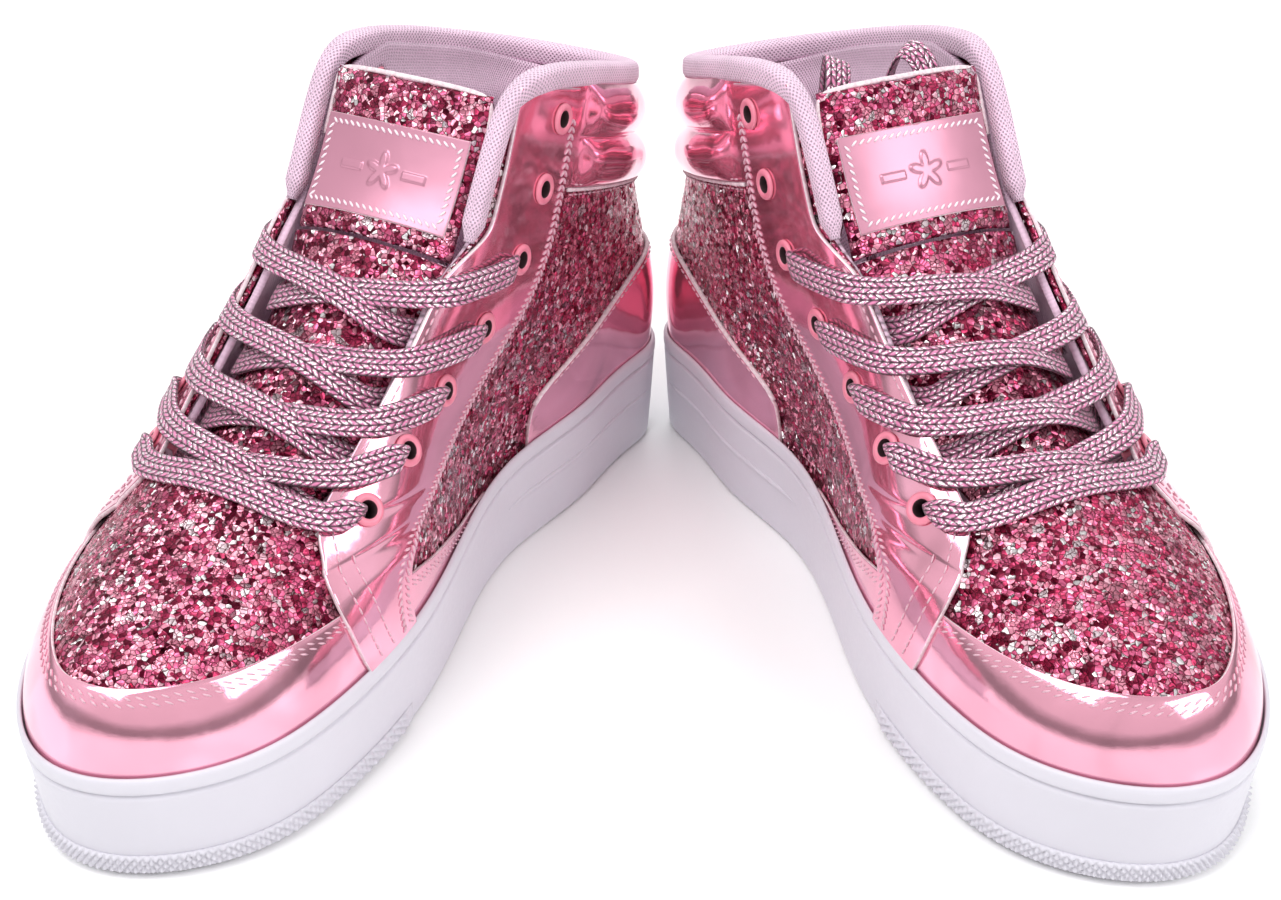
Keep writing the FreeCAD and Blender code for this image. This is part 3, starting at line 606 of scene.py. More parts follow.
def stitches(bm, points, normals, pitch=None, slant=0.0, width=0.62, rise=0.32):
    """One row of separate stitches along a line on the surface."""
    length = sizes().stitch_length * 1000.0
    pitch = pitch or length * 1.12
    run = np.r_[0.0, np.cumsum(np.linalg.norm(np.diff(points, axis=0), axis=1))]
    for centre in np.arange(pitch / 2.0, run[-1], pitch):
        p = Vector([np.interp(centre, run, points[:, k]) for k in range(3)])
        q = Vector([np.interp(min(centre + 0.5, run[-1]), run, points[:, k]) for k in range(3)])
        n = Vector([np.interp(centre, run, normals[:, k]) for k in range(3)]).normalized()
        along = (q - p).normalized() if (q - p).length > 1e-6 else Vector((1.0, 0.0, 0.0))
        side = n.cross(along).normalized()
        along = (along + side * slant).normalized()
        side = n.cross(along).normalized()
        place = Matrix((along * (length / 2.0), side * width / 2.0, n * rise)).transposed().to_4x4()
        place.translation = p
        bmesh.ops.create_icosphere(bm, subdivisions=1, radius=1.0, matrix=place)


def loft(bm, loops, cap=True, cloth=None, material=0):
    """Skin over a row of closed loops, built ring by ring; cloth names a UV layer."""
    loops = np.asarray(loops, float)
    count = loops.shape[1]
    grown = bmesh.ops.create_circle(bm, segments=count, radius=1.0)
    ring = grown["verts"]
    edges = list({e for v in ring for e in v.link_edges})
    where = {}
    faces = []
    for k, v in enumerate(ring):
        v.co = loops[0][k]
        where[v] = (0, k)
    first = edges
    for r in range(1, len(loops)):
        grown = bmesh.ops.extrude_edge_only(bm, edges=edges)["geom"]
        edges = [g for g in grown if isinstance(g, bmesh.types.BMEdge) and g.is_boundary]
        for g in grown:
            if isinstance(g, bmesh.types.BMVert):
                k = next(where[e.other_vert(g)][1] for e in g.link_edges if e.other_vert(g) in where)
                ring[k] = g
        for k, v in enumerate(ring):
            v.co = loops[r][k]
            where[v] = (r, k)
        faces += [g for g in grown if isinstance(g, bmesh.types.BMFace)]
    if cap:
        for end in (first, edges):
            faces += bmesh.ops.contextual_create(bm, geom=end)["faces"]
    if cloth:
        layer = bm.loops.layers.uv.get(cloth) or bm.loops.layers.uv.new(cloth)
        along = np.r_[0.0, np.cumsum(np.linalg.norm(np.diff(loops.mean(axis=1), axis=0), axis=1))] / 1000.0
        widest = loops[len(loops) // 2]
        gaps = np.linalg.norm(np.roll(widest, -1, axis=0) - widest, axis=1)
        around = np.r_[0.0, np.cumsum(gaps)] / 1000.0
        for face in faces:
            cells = [where[loop.vert] for loop in face.loops]
            wrap = max(k for r, k in cells) - min(k for r, k in cells) > count / 2
            for loop, (r, k) in zip(face.loops, cells):
                loop[layer].uv = (along[r], around[count if wrap and k == 0 else k])
    for face in faces:
        face.material_index = material
    return faces


def outline(offset, height, count=240, reach=None):
    """Closed loop round the feather line; the height may follow the length."""
    psi = -math.pi + TAU * (np.arange(count) + 0.5) / count
    return outline_at(psi, offset, height)


def outline_at(psi, offset, height):
    along = form(psi + 0.02, 0.0) - form(psi - 0.02, 0.0)
    out = unit(np.stack([along[..., 1], -along[..., 0], 0.0 * along[..., 0]], -1))
    p = form(psi, 0.0)
    centre = np.array([LENGTH / 2.0, 0.0, FEATHER_Z])
    facing = np.sign(np.sum(out * (p - centre), axis=-1))[..., None]
    p = p + out * facing * np.asarray(offset, float)[..., None]
    p[..., 2] = height(p[..., 0]) if callable(height) else height
    return p


def along_edge(psi, v, off):
    """Line on the upper with its normals, ready for a row of stitches."""
    psi, v = np.broadcast_arrays(np.asarray(psi, float), np.asarray(v, float))
    return skin(psi, v, np.full(psi.shape, float(off))), normal(psi, v)


def ribbon(bm, line, across, half_width_mm, half_thickness, cloth="cloth", ring=12):
    """Flat braid: an oval section carried along a line, wide side along `across`."""
    line = np.asarray(line, float)
    tangent = unit(np.gradient(line, axis=0))
    wide = unit(across - tangent * np.sum(across * tangent, axis=1, keepdims=True))
    thick = np.cross(tangent, wide)
    turn = TAU * np.arange(ring) / ring
    cw = np.sign(np.cos(turn)) * np.abs(np.cos(turn)) ** 0.55
    ct = np.sign(np.sin(turn)) * np.abs(np.sin(turn)) ** 0.8
    w = np.asarray(half_width_mm)[:, None, None] * cw[None, :, None]
    t = np.asarray(half_thickness)[:, None, None] * ct[None, :, None]
    loops = line[:, None, :] + wide[:, None, :] * w + thick[:, None, :] * t
    return loft(bm, loops, True, cloth)


def carried(line, start):
    """Width direction carried along a line without twisting it."""
    tangent = unit(np.gradient(np.asarray(line, float), axis=0))
    wide = np.array(start, float)
    rows = []
    for t in tangent:
        wide = wide - t * wide.dot(t)
        wide = wide / np.linalg.norm(wide)
        rows.append(wide)
    return np.array(rows)


def smooth_line(points, spacing=1.6):
    """Points along a NURBS curve laid through the route."""
    curve = bpy.data.curves.new("route", "CURVE")
    curve.dimensions = "3D"
    strand = curve.splines.new("NURBS")
    strand.points.add(len(points) - 1)
    for knot, point in zip(strand.points, points):
        knot.co = (*point, 1.0)
    strand.order_u = 3
    strand.use_endpoint_u = True
    strand.resolution_u = 24
    holder = bpy.data.objects.new("route", curve)
    bpy.context.scene.collection.objects.link(holder)
    bpy.context.view_layer.update()
    mesh = bpy.data.meshes.new_from_object(holder)
    line = np.array([v.co for v in mesh.vertices])
    bpy.data.objects.remove(holder)
    bpy.data.curves.remove(curve)
    bpy.data.meshes.remove(mesh)
    line = line[np.r_[True, np.linalg.norm(np.diff(line, axis=0), axis=1) > 1e-4]]
    run = np.r_[0.0, np.cumsum(np.linalg.norm(np.diff(line, axis=0), axis=1))]
    marks = np.linspace(0.0, run[-1], max(4, int(run[-1] / spacing)))
    return np.stack([np.interp(marks, run, line[:, k]) for k in range(3)], -1)


def eased(edge, reach=0.012):
    """An edge with its corners rounded off."""
    shifts = np.linspace(-1.0, 1.0, 9) * reach
    return lambda v: np.mean([edge(np.asarray(v, float) + d) for d in shifts], axis=0)


def eyelet_centres(side, off):
    return [Vector(skin(side * q, v, off)) for q, v in EYELETS]


# ---- sole --------------------------------------------------------------------
def make_outsole():
    below = [(2.62, 8.0), (2.74, 6.9), (2.66, 6.35), (2.3, 6.0), (1.85, 5.8), (1.85, 5.2), (2.3, 4.98),
             (2.78, 4.75), (2.98, 4.3), (3.08, 3.2), (3.08, 1.5), (2.97, 0.7), (2.65, 0.2), (2.1, 0.0),
             (1.7, 0.05), (1.62, 1.5)]
    rows = [(-2.2, 0.0), (-1.2, 0.0), (-0.3, 0.12), (0.3, 0.5), (0.62, 1.1), (0.75, 2.0), (1.1, 7.0),
            (1.5, 12.0), (1.9, 18.0), (2.3, 24.0)]
    rows += [(off, lambda x, drop=drop: wall_top(x) - drop) for off, drop in below]
    rows += [(1.62, 28.5), (-3.0, 28.5)]
    bm = bmesh.new()
    faces = loft(bm, [outline(off, height, 300) for off, height in rows], True, None)
    ground = [f for f in faces if len(f.verts) > 10 and f.calc_center_median().z < 1.0]
    bmesh.ops.recalc_face_normals(bm, faces=bm.faces)
    for x in list(range(30, 96, 13)) + list(range(150, 262, 12)):
        for cut in (x, x + 3.0):
            under = [f for f in bm.faces if f.calc_center_median().z < 0.02 and f.normal.z < -0.9]
            geom = list({g for f in under for g in (f, *f.edges, *f.verts)})
            bmesh.ops.bisect_plane(bm, geom=geom, plane_co=(cut, 0.0, 0.0), plane_no=(1.0, 0.0, 0.0))
        strip = [f for f in bm.faces if f.calc_center_median().z < 0.02 and f.normal.z < -0.9
                 and x < f.calc_center_median().x < x + 3.0 and len(f.verts) > 3 and f.calc_area() > 60.0]
        if strip:
            dug = bmesh.ops.extrude_face_region(bm, geom=strip)["geom"]
            bmesh.ops.translate(bm, vec=(0.0, 0.0, 1.6), verts=[g for g in dug if isinstance(g, bmesh.types.BMVert)])
            bmesh.ops.delete(bm, geom=strip, context="FACES_ONLY")
    bmesh.ops.recalc_face_normals(bm, faces=bm.faces)
    both("outsole", bm, ["sole_rubber"], node="outsole", slot="sole_rubber")
    return len(ground)


def make_toe_strip():
    """Diamond-grained strip round the toe, low on the wall."""
    def place(u, w):
        psi = -1.95 + (TAU - 1.95 - 1.75) * u
        psi = -1.95 - (TAU - 1.95 - 1.75) * u
        z = 1.4 + 6.0 * w
        run = u * 230.0
        grain = np.abs(np.sin((run + 6.0 * w) * math.pi / 2.6)) * np.abs(np.sin((run - 6.0 * w) * math.pi / 2.6))
        ends = step(0.0, 0.02, u) * (1.0 - step(0.98, 1.0, u)) * step(0.0, 0.12, w) * (1.0 - step(0.88, 1.0, w))
        p = outline_at(psi, 1.05 + 0.035 * z + (0.3 + 1.4 * grain) * ends, 0.0)
        p[..., 2] = z
        return p
    bm = bmesh.new()
    spread(bm, 420, 16, place)
    thicken(bm, 1.2)
    both("toe_grain_strip", bm, ["sole_rubber"], slot="sole_rubber")


def make_heel_rib():
    """Short raised rib on the wall at the heel's outer side, one on each side."""
    bm = bmesh.new()
    for side in (1.0, -1.0):
        psi = side * np.linspace(0.55, 1.35, 60)
        line = outline_at(psi, 2.05, 19.5)
        half = 0.9 * np.clip(np.sin(np.linspace(0.0, math.pi, 60)) * 3.0, 0.08, 1.0)
        ribbon(bm, line, np.tile([0.0, 0.0, 1.0], (60, 1)), half, half * 0.6, "cloth", 8)
    both("heel_rib", bm, ["sole_rubber"], slot="sole_rubber")


def make_footbed():
    rows = [(-8.0, 31.2), (-5.4, 31.0), (-4.9, 31.6), (-4.7, 33.0), (-4.9, 34.8), (-5.6, 35.8), (-8.0, 36.0),
            (-20.0, 35.4)]
    bm = bmesh.new()
    loft(bm, [outline(off, height, 120) for off, height in rows], True, None)
    bmesh.ops.recalc_face_normals(bm, faces=bm.faces)
    for piece in both("footbed", bm, ["insole_cloth"], node="footbed"):
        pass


# ---- upper -------------------------------------------------------------------
def throat(u):
    return 0.355 + 0.045 * np.sin(math.pi * u)


def quarter_top(u):
    return 0.925 + 0.02 * np.sin(math.pi * np.minimum(1.0, 1.15 * u))


def make_vamp():
    edge = eased(QUARTER_EDGE)
    bm = upper_panel(lambda v: edge(v) + 0.012, lambda v: TAU - edge(v) - 0.012, flat(0.0), throat,
                     glitter_relief(0.05), 1.5, (150, 96), 0.0)
    both("vamp", bm, ["glitter_cloth", "glitter_cloth"], node="vamp", slot="glitter")
    bm = upper_panel(lambda v: edge(v) + 0.012, lambda v: TAU - edge(v) - 0.012, flat(0.0), throat,
                     lambda psi, v, u, w: 0.0 * v - 1.8, 2.4, (60, 24), 0.6)
    both("vamp_lining", bm, ["knitted_mesh", "knitted_mesh"], node="vamp_lining", slot="mesh")


def make_quarters():
    edge = eased(QUARTER_EDGE)
    for side, name in ((1, "outer"), (-1, "inner")):
        bm = upper_panel(flat(side * 0.006), lambda v, side=side: side * edge(v), flat(0.0), quarter_top,
                         glitter_relief(0.0), 1.5, (110, 120), 0.0, eyelet_centres(side, 0.0))
        both(name + "_quarter", bm, ["glitter_cloth", "glitter_cloth"], node=name + "_quarter", slot="glitter")


def lining_top(u):
    q = np.abs(2.0 * u - 1.0)
    return 0.94 + 0.02 * step(0.0, 0.55, q) - 0.055 * step(0.78, 1.0, q)


def make_lining():
    edge = eased(LINING_EDGE)

    def inner_face(u, w):
        v = lining_top(u) * w
        psi = edge(v) * (2.0 * u - 1.0)
        q = np.abs(psi)
        pad = step(0.62, 0.66, v) * (1.0 - 0.75 * step(0.86, 0.93, v)) * (1.0 - step(1.75, 2.15, q))
        low = 1.2 * step(0.30, 0.5, v) * (1.0 - step(0.58, 0.625, v)) * (1.0 - step(1.75, 2.15, q))
        return skin(psi, v, LINING_IN - 3.6 * pad - low)
    bm = bmesh.new()
    spread(bm, 150, 110, inner_face)
    bmesh.ops.recalc_face_normals(bm, faces=bm.faces)
    middle = Vector((120.0, 0.0, 45.0))
    if sum(f.normal.dot(f.calc_center_median() - middle) for f in bm.faces) > 0.0:
        bmesh.ops.reverse_faces(bm, faces=bm.faces)
    holes = eyelet_centres(1, LINING_IN) + eyelet_centres(-1, LINING_IN)
    punched = [f for f in bm.faces if any((f.calc_center_median() - hole).length < 3.9 for hole in holes)]
    bmesh.ops.delete(bm, geom=punched, context="FACES")
    bm.normal_update()
    bmesh.ops.solidify(bm, geom=bm.faces[:], thickness=2.2)
    for piece in both("quarter_lining", bm, ["knitted_mesh"], node="quarter_lining", slot="mesh"):
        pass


def make_overlays():
    """Metallic pieces laid over the glitter: toe, facings, heel and collar."""
    span = TAU - 2.9
    guard = upper_panel(flat(1.45), flat(TAU - 1.45), flat(0.0), lambda u: MUDGUARD_TOP(fold(1.45 + span * u)),
                        lambda psi, v, u, w: 1.3 + 0.0 * v, 0.9, (220, 18), 0.35)
    both("toe_mudguard", guard, ["metallic_film", "cut_edge"], node="toe_mudguard", slot="metallic")
    foxing = upper_panel(flat(-1.25), flat(1.25), flat(0.0), lambda u: foxing_top(2.5 * u - 1.25),
                         lambda psi, v, u, w: 1.5 + 0.0 * v, 1.3, (120, 50), 0.4)
    both("heel_foxing", foxing, ["metallic_film", "cut_edge"], node="heel_foxing", slot="metallic")
    rear, front = eased(REAR_SEAM, 0.03), eased(FRONT_EDGE, 0.018)
    for side, name in ((1, "outer"), (-1, "inner")):
        stay = upper_panel(lambda v, side=side: side * rear(v), lambda v, side=side: side * front(v), flat(0.0),
                           flat(0.945), stay_face, 1.3, (44, 190), 0.4, eyelet_centres(side, 1.4))
        both(name + "_eyestay", stay, ["metallic_film", "cut_edge"], node=name + "_eyestay", slot="metallic")

    def puffs(psi, v, u, w):
        q = np.abs(2.0 * u - 1.0)
        wrinkle = 0.16 * np.sin(psi * 17.0 + 2.0 * np.sin(w * 7.0)) * np.sin(math.pi * w * 2.0)
        swell = 3.4 * np.abs(np.sin(TAU * w)) ** 0.8 * (1.0 - step(0.82, 0.93, q))
        return 1.5 - 0.7 * step(0.86, 0.93, q) + swell + wrinkle * (1.0 - step(0.8, 1.0, q))
    band = upper_panel(flat(-1.74), flat(1.74), lambda u: COLLAR_SEAM(np.abs(3.48 * u - 1.74)),
                       lambda u: 0.935 + 0.02 * np.abs(np.sin(math.pi * (2.0 * u - 1.0) / 2.0)), puffs, 0.7,
                       (150, 44), 0.25)
    for piece in both("collar_band", band, ["metallic_film", "cut_edge"], node="collar_band", slot="metallic"):
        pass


def stay_face(psi, v, u, w):
    """Outer face of a facing: stepped over the toe guard, creased near the bar."""
    rise = 1.5 + 1.15 * (1.0 - step(0.13, 0.20, v))
    crease = 0.45 * np.exp(-((v - 0.285 - 0.05 * u) / 0.012) ** 2) * step(0.1, 0.5, u)
    crease += 0.3 * np.exp(-((v - 0.235 + 0.03 * u) / 0.010) ** 2) * step(0.2, 0.6, u)
    return rise - crease


def roll_line(count=240):
    path = [(-q, v) for q, v in ROLL_PATH] + [(0.0, 0.967)] + [(q, v) for q, v in reversed(ROLL_PATH)]
    points = np.array([skin(q, v, -1.4) for q, v in path])
    knots = np.arange(len(points), dtype=float)
    curves = [spline(knots, points[:, k]) for k in range(3)]
    marks = np.linspace(0.0, knots[-1], count)
    return np.stack([c(marks) for c in curves], -1)


def make_collar_roll():
    line = roll_line()
    bm = bmesh.new()
    taper = np.clip(np.minimum(np.arange(240), np.arange(240)[::-1]) / 5.0, 0.25, 1.0) ** 0.5
    front = 3.7 - 0.7 * step(90.0, 106.0, line[:, 0])
    ribbon(bm, line, np.tile([0.0, 0.0, 1.0], (240, 1)), front * taper, front * taper, "cloth", 28)
    for piece in both("collar_roll", bm, ["knitted_mesh"], node="collar_roll", slot="mesh"):
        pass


# ---- tongue ------------------------------------------------------------------
def tongue_piece(s0, s1, half, outer, thickness, count, edge_round, puff=0.0):
    bm = bmesh.new()

    def place(u, w):
        s = s0 + (s1 - s0) * w
        return tongue(s, half(s) * (2.0 * u - 1.0), outer(u, w))
    spread(bm, count[0], count[1], place)
    thicken(bm, thickness, edge_round, 1)
    return bm


def make_tongue():
    height = sizes().relief * 1000.0

    def glitter(u, w):
        return height * (RNG.random_sample(np.shape(u)) - 0.5)
    half = lambda s: 22.0 + 4.5 * step(0.0, 0.25, s)
    lower = tongue_piece(0.0, HINGE_SHARE - 0.004, half, glitter, 3.3, (44, 62), 0.0)
    both("tongue", lower, ["glitter_cloth", "knitted_mesh"], node="tongue", slot="glitter")

    def padded_face(u, w):
        edge = np.minimum(np.minimum(u, 1.0 - u) * 54.0, np.minimum(w, 1.0 - w) * 46.0)
        return 0.6 - 2.2 * (1.0 - np.clip(edge / 5.0, 0.0, 1.0)) ** 2 + glitter(u, w)
    upper = tongue_piece(HINGE_SHARE + 0.004, 0.987, flat(27.2), padded_face, 5.6, (46, 44), 1.6)
    for piece in both("tongue_flap", upper, ["glitter_cloth", "knitted_mesh"], body="tongue_top",
                      node="tongue_flap", slot="glitter"):
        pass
    edge = []
    for s, y in [(0.84, -27.1), (0.93, -27.2), (0.975, -26.2), (0.986, -22.0), (0.99, -10.0), (0.99, 0.0),
                 (0.99, 10.0), (0.986, 22.0), (0.975, 26.2), (0.93, 27.2), (0.84, 27.1)]:
        edge.append(tongue(s, y, -1.9))
    line = smooth_line(edge, 1.5)
    piping = bmesh.new()
    n = len(line)
    ribbon(piping, line, carried(line, (0.3, 0.9, 0.3)), np.full(n, 0.75), np.full(n, 0.75), "cloth", 10)
    both("tongue_piping", piping, ["cut_edge"], body="tongue_top", slot="mesh")


def make_label():
    s0, s1 = HINGE_SHARE + 0.046, HINGE_SHARE + 0.254

    def lift(u, w):
        across, upward = (u - 0.5) * 48.8, (w - 0.5) * 26.4
        star = np.hypot(across, upward)
        bar = np.where((np.abs(upward) < 1.2) & (np.abs(across) > 7.0) & (np.abs(across) < 14.5), 0.55, 0.0)
        angle = np.arctan2(upward, across)
        arms = 3.6 + 1.7 * np.cos(5.0 * (angle - math.pi / 2.0))
        return 1.5 + bar + 0.6 * np.clip(0.5 - (star - arms), 0.0, 1.0)
    bm = tongue_piece(s0, s1, flat(24.4), lift, 1.3, (150, 84), 0.35)
    both("tongue_label", bm, ["label_film", "cut_edge"], body="tongue_top", node="tongue_label", slot="label")
    rows = bmesh.new()
    inset_s = 2.2 / 127.0
    corners = [(s0 + inset_s, -22.2), (s0 + inset_s, 22.2), (s1 - inset_s, 22.2), (s1 - inset_s, -22.2),
               (s0 + inset_s, -22.2)]
    for (sa, ya), (sb, yb) in zip(corners, corners[1:]):
        share = np.linspace(0.0, 1.0, 24)
        s, y = sa + (sb - sa) * share, ya + (yb - ya) * share
        points = tongue(s, y, 1.62)
        stitches(rows, points, unit(tongue(s, y, 3.0) - tongue(s, y, 1.0)), 2.3, 0.8, 0.8, 0.4)
    both("label_stitches", rows, ["pale_thread"], body="tongue_top", slot="label")


# ---- stitching -----------------------------------------------------------------
def make_stitching():
    bm = bmesh.new()
    psi = np.linspace(1.5, TAU - 1.5, 400)
    top = MUDGUARD_TOP(fold(psi))
    for drop, slant in ((0.0105, 0.5), (0.0175, 0.5)):
        stitches(bm, *along_edge(psi, top - drop, 1.4), None, slant)
    psi = np.linspace(-1.2, 1.2, 240)
    stitches(bm, *along_edge(psi, foxing_top(psi) - 0.018, 1.6))
    psi = np.linspace(-1.6, 1.6, 240)
    stitches(bm, *along_edge(psi, COLLAR_SEAM(np.abs(psi)) - 0.014, 0.25))
    stitches(bm, *along_edge(psi, COLLAR_SEAM(np.abs(psi)) + 0.006, 1.6))
    rear, front = eased(REAR_SEAM, 0.03), eased(FRONT_EDGE, 0.018)
    for side in (1, -1):
        v = np.linspace(0.02, 0.90, 360)
        face = 1.6 + 1.15 * (1.0 - step(0.13, 0.20, v))
        for shift, slant in ((0.022, 0.8), (0.052, -0.8)):
            points, normals = along_edge(side * (rear(v) + shift), v, 1.6)
            points = points + normals * (face - 1.6)[:, None]
            stitches(bm, points, normals, 2.2, slant * side, 0.8, 0.55)
        v = np.linspace(0.02, 0.70, 300)
        face = 1.6 + 1.15 * (1.0 - step(0.13, 0.20, v))
        points, normals = along_edge(side * (front(v) - 0.05), v, 1.6)
        stitches(bm, points + normals * (face - 1.6)[:, None], normals)
        v = np.linspace(0.02, 0.24, 120)
        face = 1.6 + 1.15 * (1.0 - step(0.13, 0.20, v))
        points, normals = along_edge(side * (front(v) - 0.10), v, 1.6)
        stitches(bm, points + normals * (face - 1.6)[:, None], normals)
    both("stitching", bm, ["thread"], slot="metallic")


def make_pipings():
    """Pale folded edges along the collar seam and the top of the heel piece."""
    bm = bmesh.new()
    for psi, v, off in ((np.linspace(-1.63, 1.63, 200), lambda q: COLLAR_SEAM(np.abs(q)) - 0.004, 0.7),
                        (np.linspace(-1.245, 1.245, 180), lambda q: foxing_top(q) + 0.002, 0.7)):
        line = skin(psi, v(psi), np.full(psi.shape, off))
        n = len(line)
        ribbon(bm, line, normal(psi, v(psi)), np.full(n, 0.75), np.full(n, 0.6), "cloth", 8)
    both("edge_piping", bm, ["cut_edge"], slot="metallic")


# ---- eyelets and lace --------------------------------------------------------------
def make_eyelets():
    top, low = 1.5, LINING_IN
    profile = [(2.45, low - 0.75), (2.7, low - 1.0), (4.0, low - 1.0), (4.3, low - 0.8), (4.3, low - 0.5),
               (3.1, low - 0.4), (3.1, top), (4.55, top + 0.05), (4.7, top + 0.3), (4.6, top + 0.75),
               (4.2, top + 1.1), (3.6, top + 1.25), (3.0, top + 1.15), (2.6, top + 0.8), (2.4, top + 0.2)]
    for side, name in ((1, "outer"), (-1, "inner")):
        bm = bmesh.new()
        for q, v in EYELETS:
            verts = [bm.verts.new((r, 0.0, h)) for r, h in profile]
            edges = [bm.edges.new(pair) for pair in zip(verts, verts[1:] + verts[:1])]
            turned = bmesh.ops.spin(bm, geom=verts + edges, axis=(0.0, 0.0, 1.0), cent=(0.0, 0.0, 0.0),
                                    angle=TAU, steps=28, use_merge=True)
            n = Vector(normal(side * q, v))
            ring = {w for g in turned["geom_last"] for w in ([g] if isinstance(g, bmesh.types.BMVert) else g.verts)}
            grown, todo = set(ring), list(ring)
            while todo:
                for e in todo.pop().link_edges:
                    for w in e.verts:
                        if w not in grown:
                            grown.add(w)
                            todo.append(w)
            place = Matrix.Translation(Vector(form(side * q, v))) @ n.to_track_quat("Z", "X").to_matrix().to_4x4()
            bmesh.ops.transform(bm, matrix=place, verts=list(grown))
        bmesh.ops.remove_doubles(bm, verts=bm.verts, dist=0.001)
        bmesh.ops.recalc_face_normals(bm, faces=bm.faces)
        # painted shade: faces inside each eyelet's bore, below the top of the flange, get the near-black finish
        for q, v in EYELETS:
            p, n = Vector(form(side * q, v)), Vector(normal(side * q, v))
            for face in bm.faces:
                reach = face.calc_center_median() - p
                height = reach.dot(n)
                if height < top + 0.6 and (reach - n * height).length < 2.75:
                    face.material_index = 1
        both(name + "_eyelets", bm, ["eyelet_coat", "painted_bore_shade"], node=name + "_eyelets", slot="eyelet")


def over_tongue(point, y, off):
    """Place over the tongue at the height of a point, off from its surface."""
    marks = np.linspace(0.0, 1.0, 201)
    nearest = marks[np.argmin(np.hypot(tongue_x(marks) - point[0], tongue_z(marks) - point[2]))]
    return tongue(nearest, y, off)


def over_facing(side, row, psi, v):
    """Strand lying on a facing, from its front edge to the top of an eyelet."""
    hole_psi, hole_v = EYELETS[row]
    points = [skin(side * (psi + 0.02), v, 3.6)]
    if np.linalg.norm(skin(side * hole_psi, hole_v, 0.0) - skin(side * psi, v, 0.0)) > 15.0:
        points.append(skin(side * (hole_psi + psi) / 2.0, (hole_v + v) / 2.0, 3.9))
    points.append(skin(side * (hole_psi + 0.02), hole_v, 4.8))
    return points


def lace_route(over_side):
    """Criss-cross route from one fifth eyelet down to the bar and up again: each
    strand comes out from under one facing and runs over the other one."""
    sides = {}
    for first in (1, -1):
        route = over_facing(first, 0, float(FRONT_EDGE(EYELETS[0][1])), EYELETS[0][1])
        side = first
        for row in range(LACED_ROWS - 1):
            psi, v = EYELETS[row]
            rise = EYELETS[row + 1][1] - v
            route.append(skin(side * psi, v, -7.6))
            low, high = v + 0.28 * rise, v + 0.84 * rise
            mouth = skin(side * float(FRONT_EDGE(low)), low, -6.3)
            landing = over_facing(-side, row + 1, float(FRONT_EDGE(high)), high)
            middle = (mouth + landing[0]) * 0.5
            lift = (4.2, 5.0, 3.6) if side == over_side else (2.2, 1.6, 2.2)
            route.append(mouth)
            route.append(over_tongue(mouth * 0.75 + landing[0] * 0.25, side * 12.0, lift[0]))
            route.append(over_tongue(middle, 0.0, lift[1]))
            route += landing
            side = -side
        route.append(skin(side * EYELETS[LACED_ROWS - 1][0], EYELETS[LACED_ROWS - 1][1], -7.6))
        sides[first] = route
    bar = (sides[1][0] + sides[-1][0]) * 0.5 + np.array([2.0, 0.0, 6.5])
    return list(reversed(sides[1])) + [bar] + sides[-1]


def tail_route(start, before, side, peak):
    run = unit(start - before)
    return [start + run * 0.1, start + run * 7.0, np.array([103.0, side * 19.0, 121.0]),
            np.array([98.0, side * 15.0, peak]), np.array([84.0, side * 9.0, peak - 2.0]),
            np.array([80.0, side * 8.0, 62.0]), np.array([128.0, side * 12.0, 46.0])]


def up_the_instep(line):
    """Direction up the instep beside each point of a line."""
    x = np.clip(line[:, 0], 112.0, 205.0)
    s = np.interp(-x, [-px for px, pz in TONGUE_LINE], TONGUE_SHARES)
    step_s = 0.02
    way = np.stack([tongue_x(s + step_s) - tongue_x(s - step_s), 0.0 * s,
                    tongue_z(s + step_s) - tongue_z(s - step_s)], -1)
    return unit(way)


def make_laces():
    wide, thick = sizes().lace_width * 500.0, sizes().lace_thickness * 500.0
    for shoe in STANCE:
        route = lace_route(OVER_STRAND[shoe])
        line = smooth_line(route)
        bores = np.array([skin(side * q, v, d) for q, v in EYELETS[:LACED_ROWS] for side in (1, -1)
                          for d in (2.0, -1.5, -5.0)])
        near = np.min(np.linalg.norm(line[:, None, :] - bores[None], axis=2), axis=1)
        open_share = step(1.0, 8.5, near)
        bm = bmesh.new()
        ribbon(bm, line, up_the_instep(line), 2.15 + (wide - 2.15) * open_share,
               1.3 + (thick - 1.3) * open_share)
        publish(shoe, "lace", bm, ["braided_yarn"], node="lace", slot="lace")
        bm.free()
        for side, name, start, before in ((1, "outer", route[0], route[1]), (-1, "inner", route[-1], route[-2])):
            points = tail_route(start, before, side, TAIL_PEAK[shoe])
            line = smooth_line(points)
            n = len(line)
            run = np.linspace(0.0, 1.0, n)
            open_share = step(0.0, 0.05, run) * (1.0 - 0.55 * step(0.96, 1.0, run))
            bm = bmesh.new()
            ribbon(bm, line, carried(line, up_the_instep(line[:1])[0]), 2.15 + (wide - 2.15) * open_share,
                   1.3 + (thick - 1.3) * open_share)
            tail = publish(shoe, name + "_lace_tail", bm, ["braided_yarn"], node=name + "_lace_tail", slot="lace")
            bm.free()
            tip = bmesh.new()
            way = unit(line[-1] - line[-2])
            marks = np.array([0.0, 0.4, 1.0, 18.0, 19.2, 19.9, 20.2])
            sizes_along = np.array([1.2, 1.6, 1.7, 1.6, 1.5, 1.0, 0.4])
            stations = line[-1] + marks[:, None] * way
            ribbon(tip, stations, np.tile([0.0, 1.0, 0.0], (7, 1)), sizes_along, sizes_along * 0.9, "cloth", 14)
            aglet = publish(shoe, name + "_aglet", tip, ["cord_tip"], node=name + "_aglet", slot="aglet")
            tip.free()


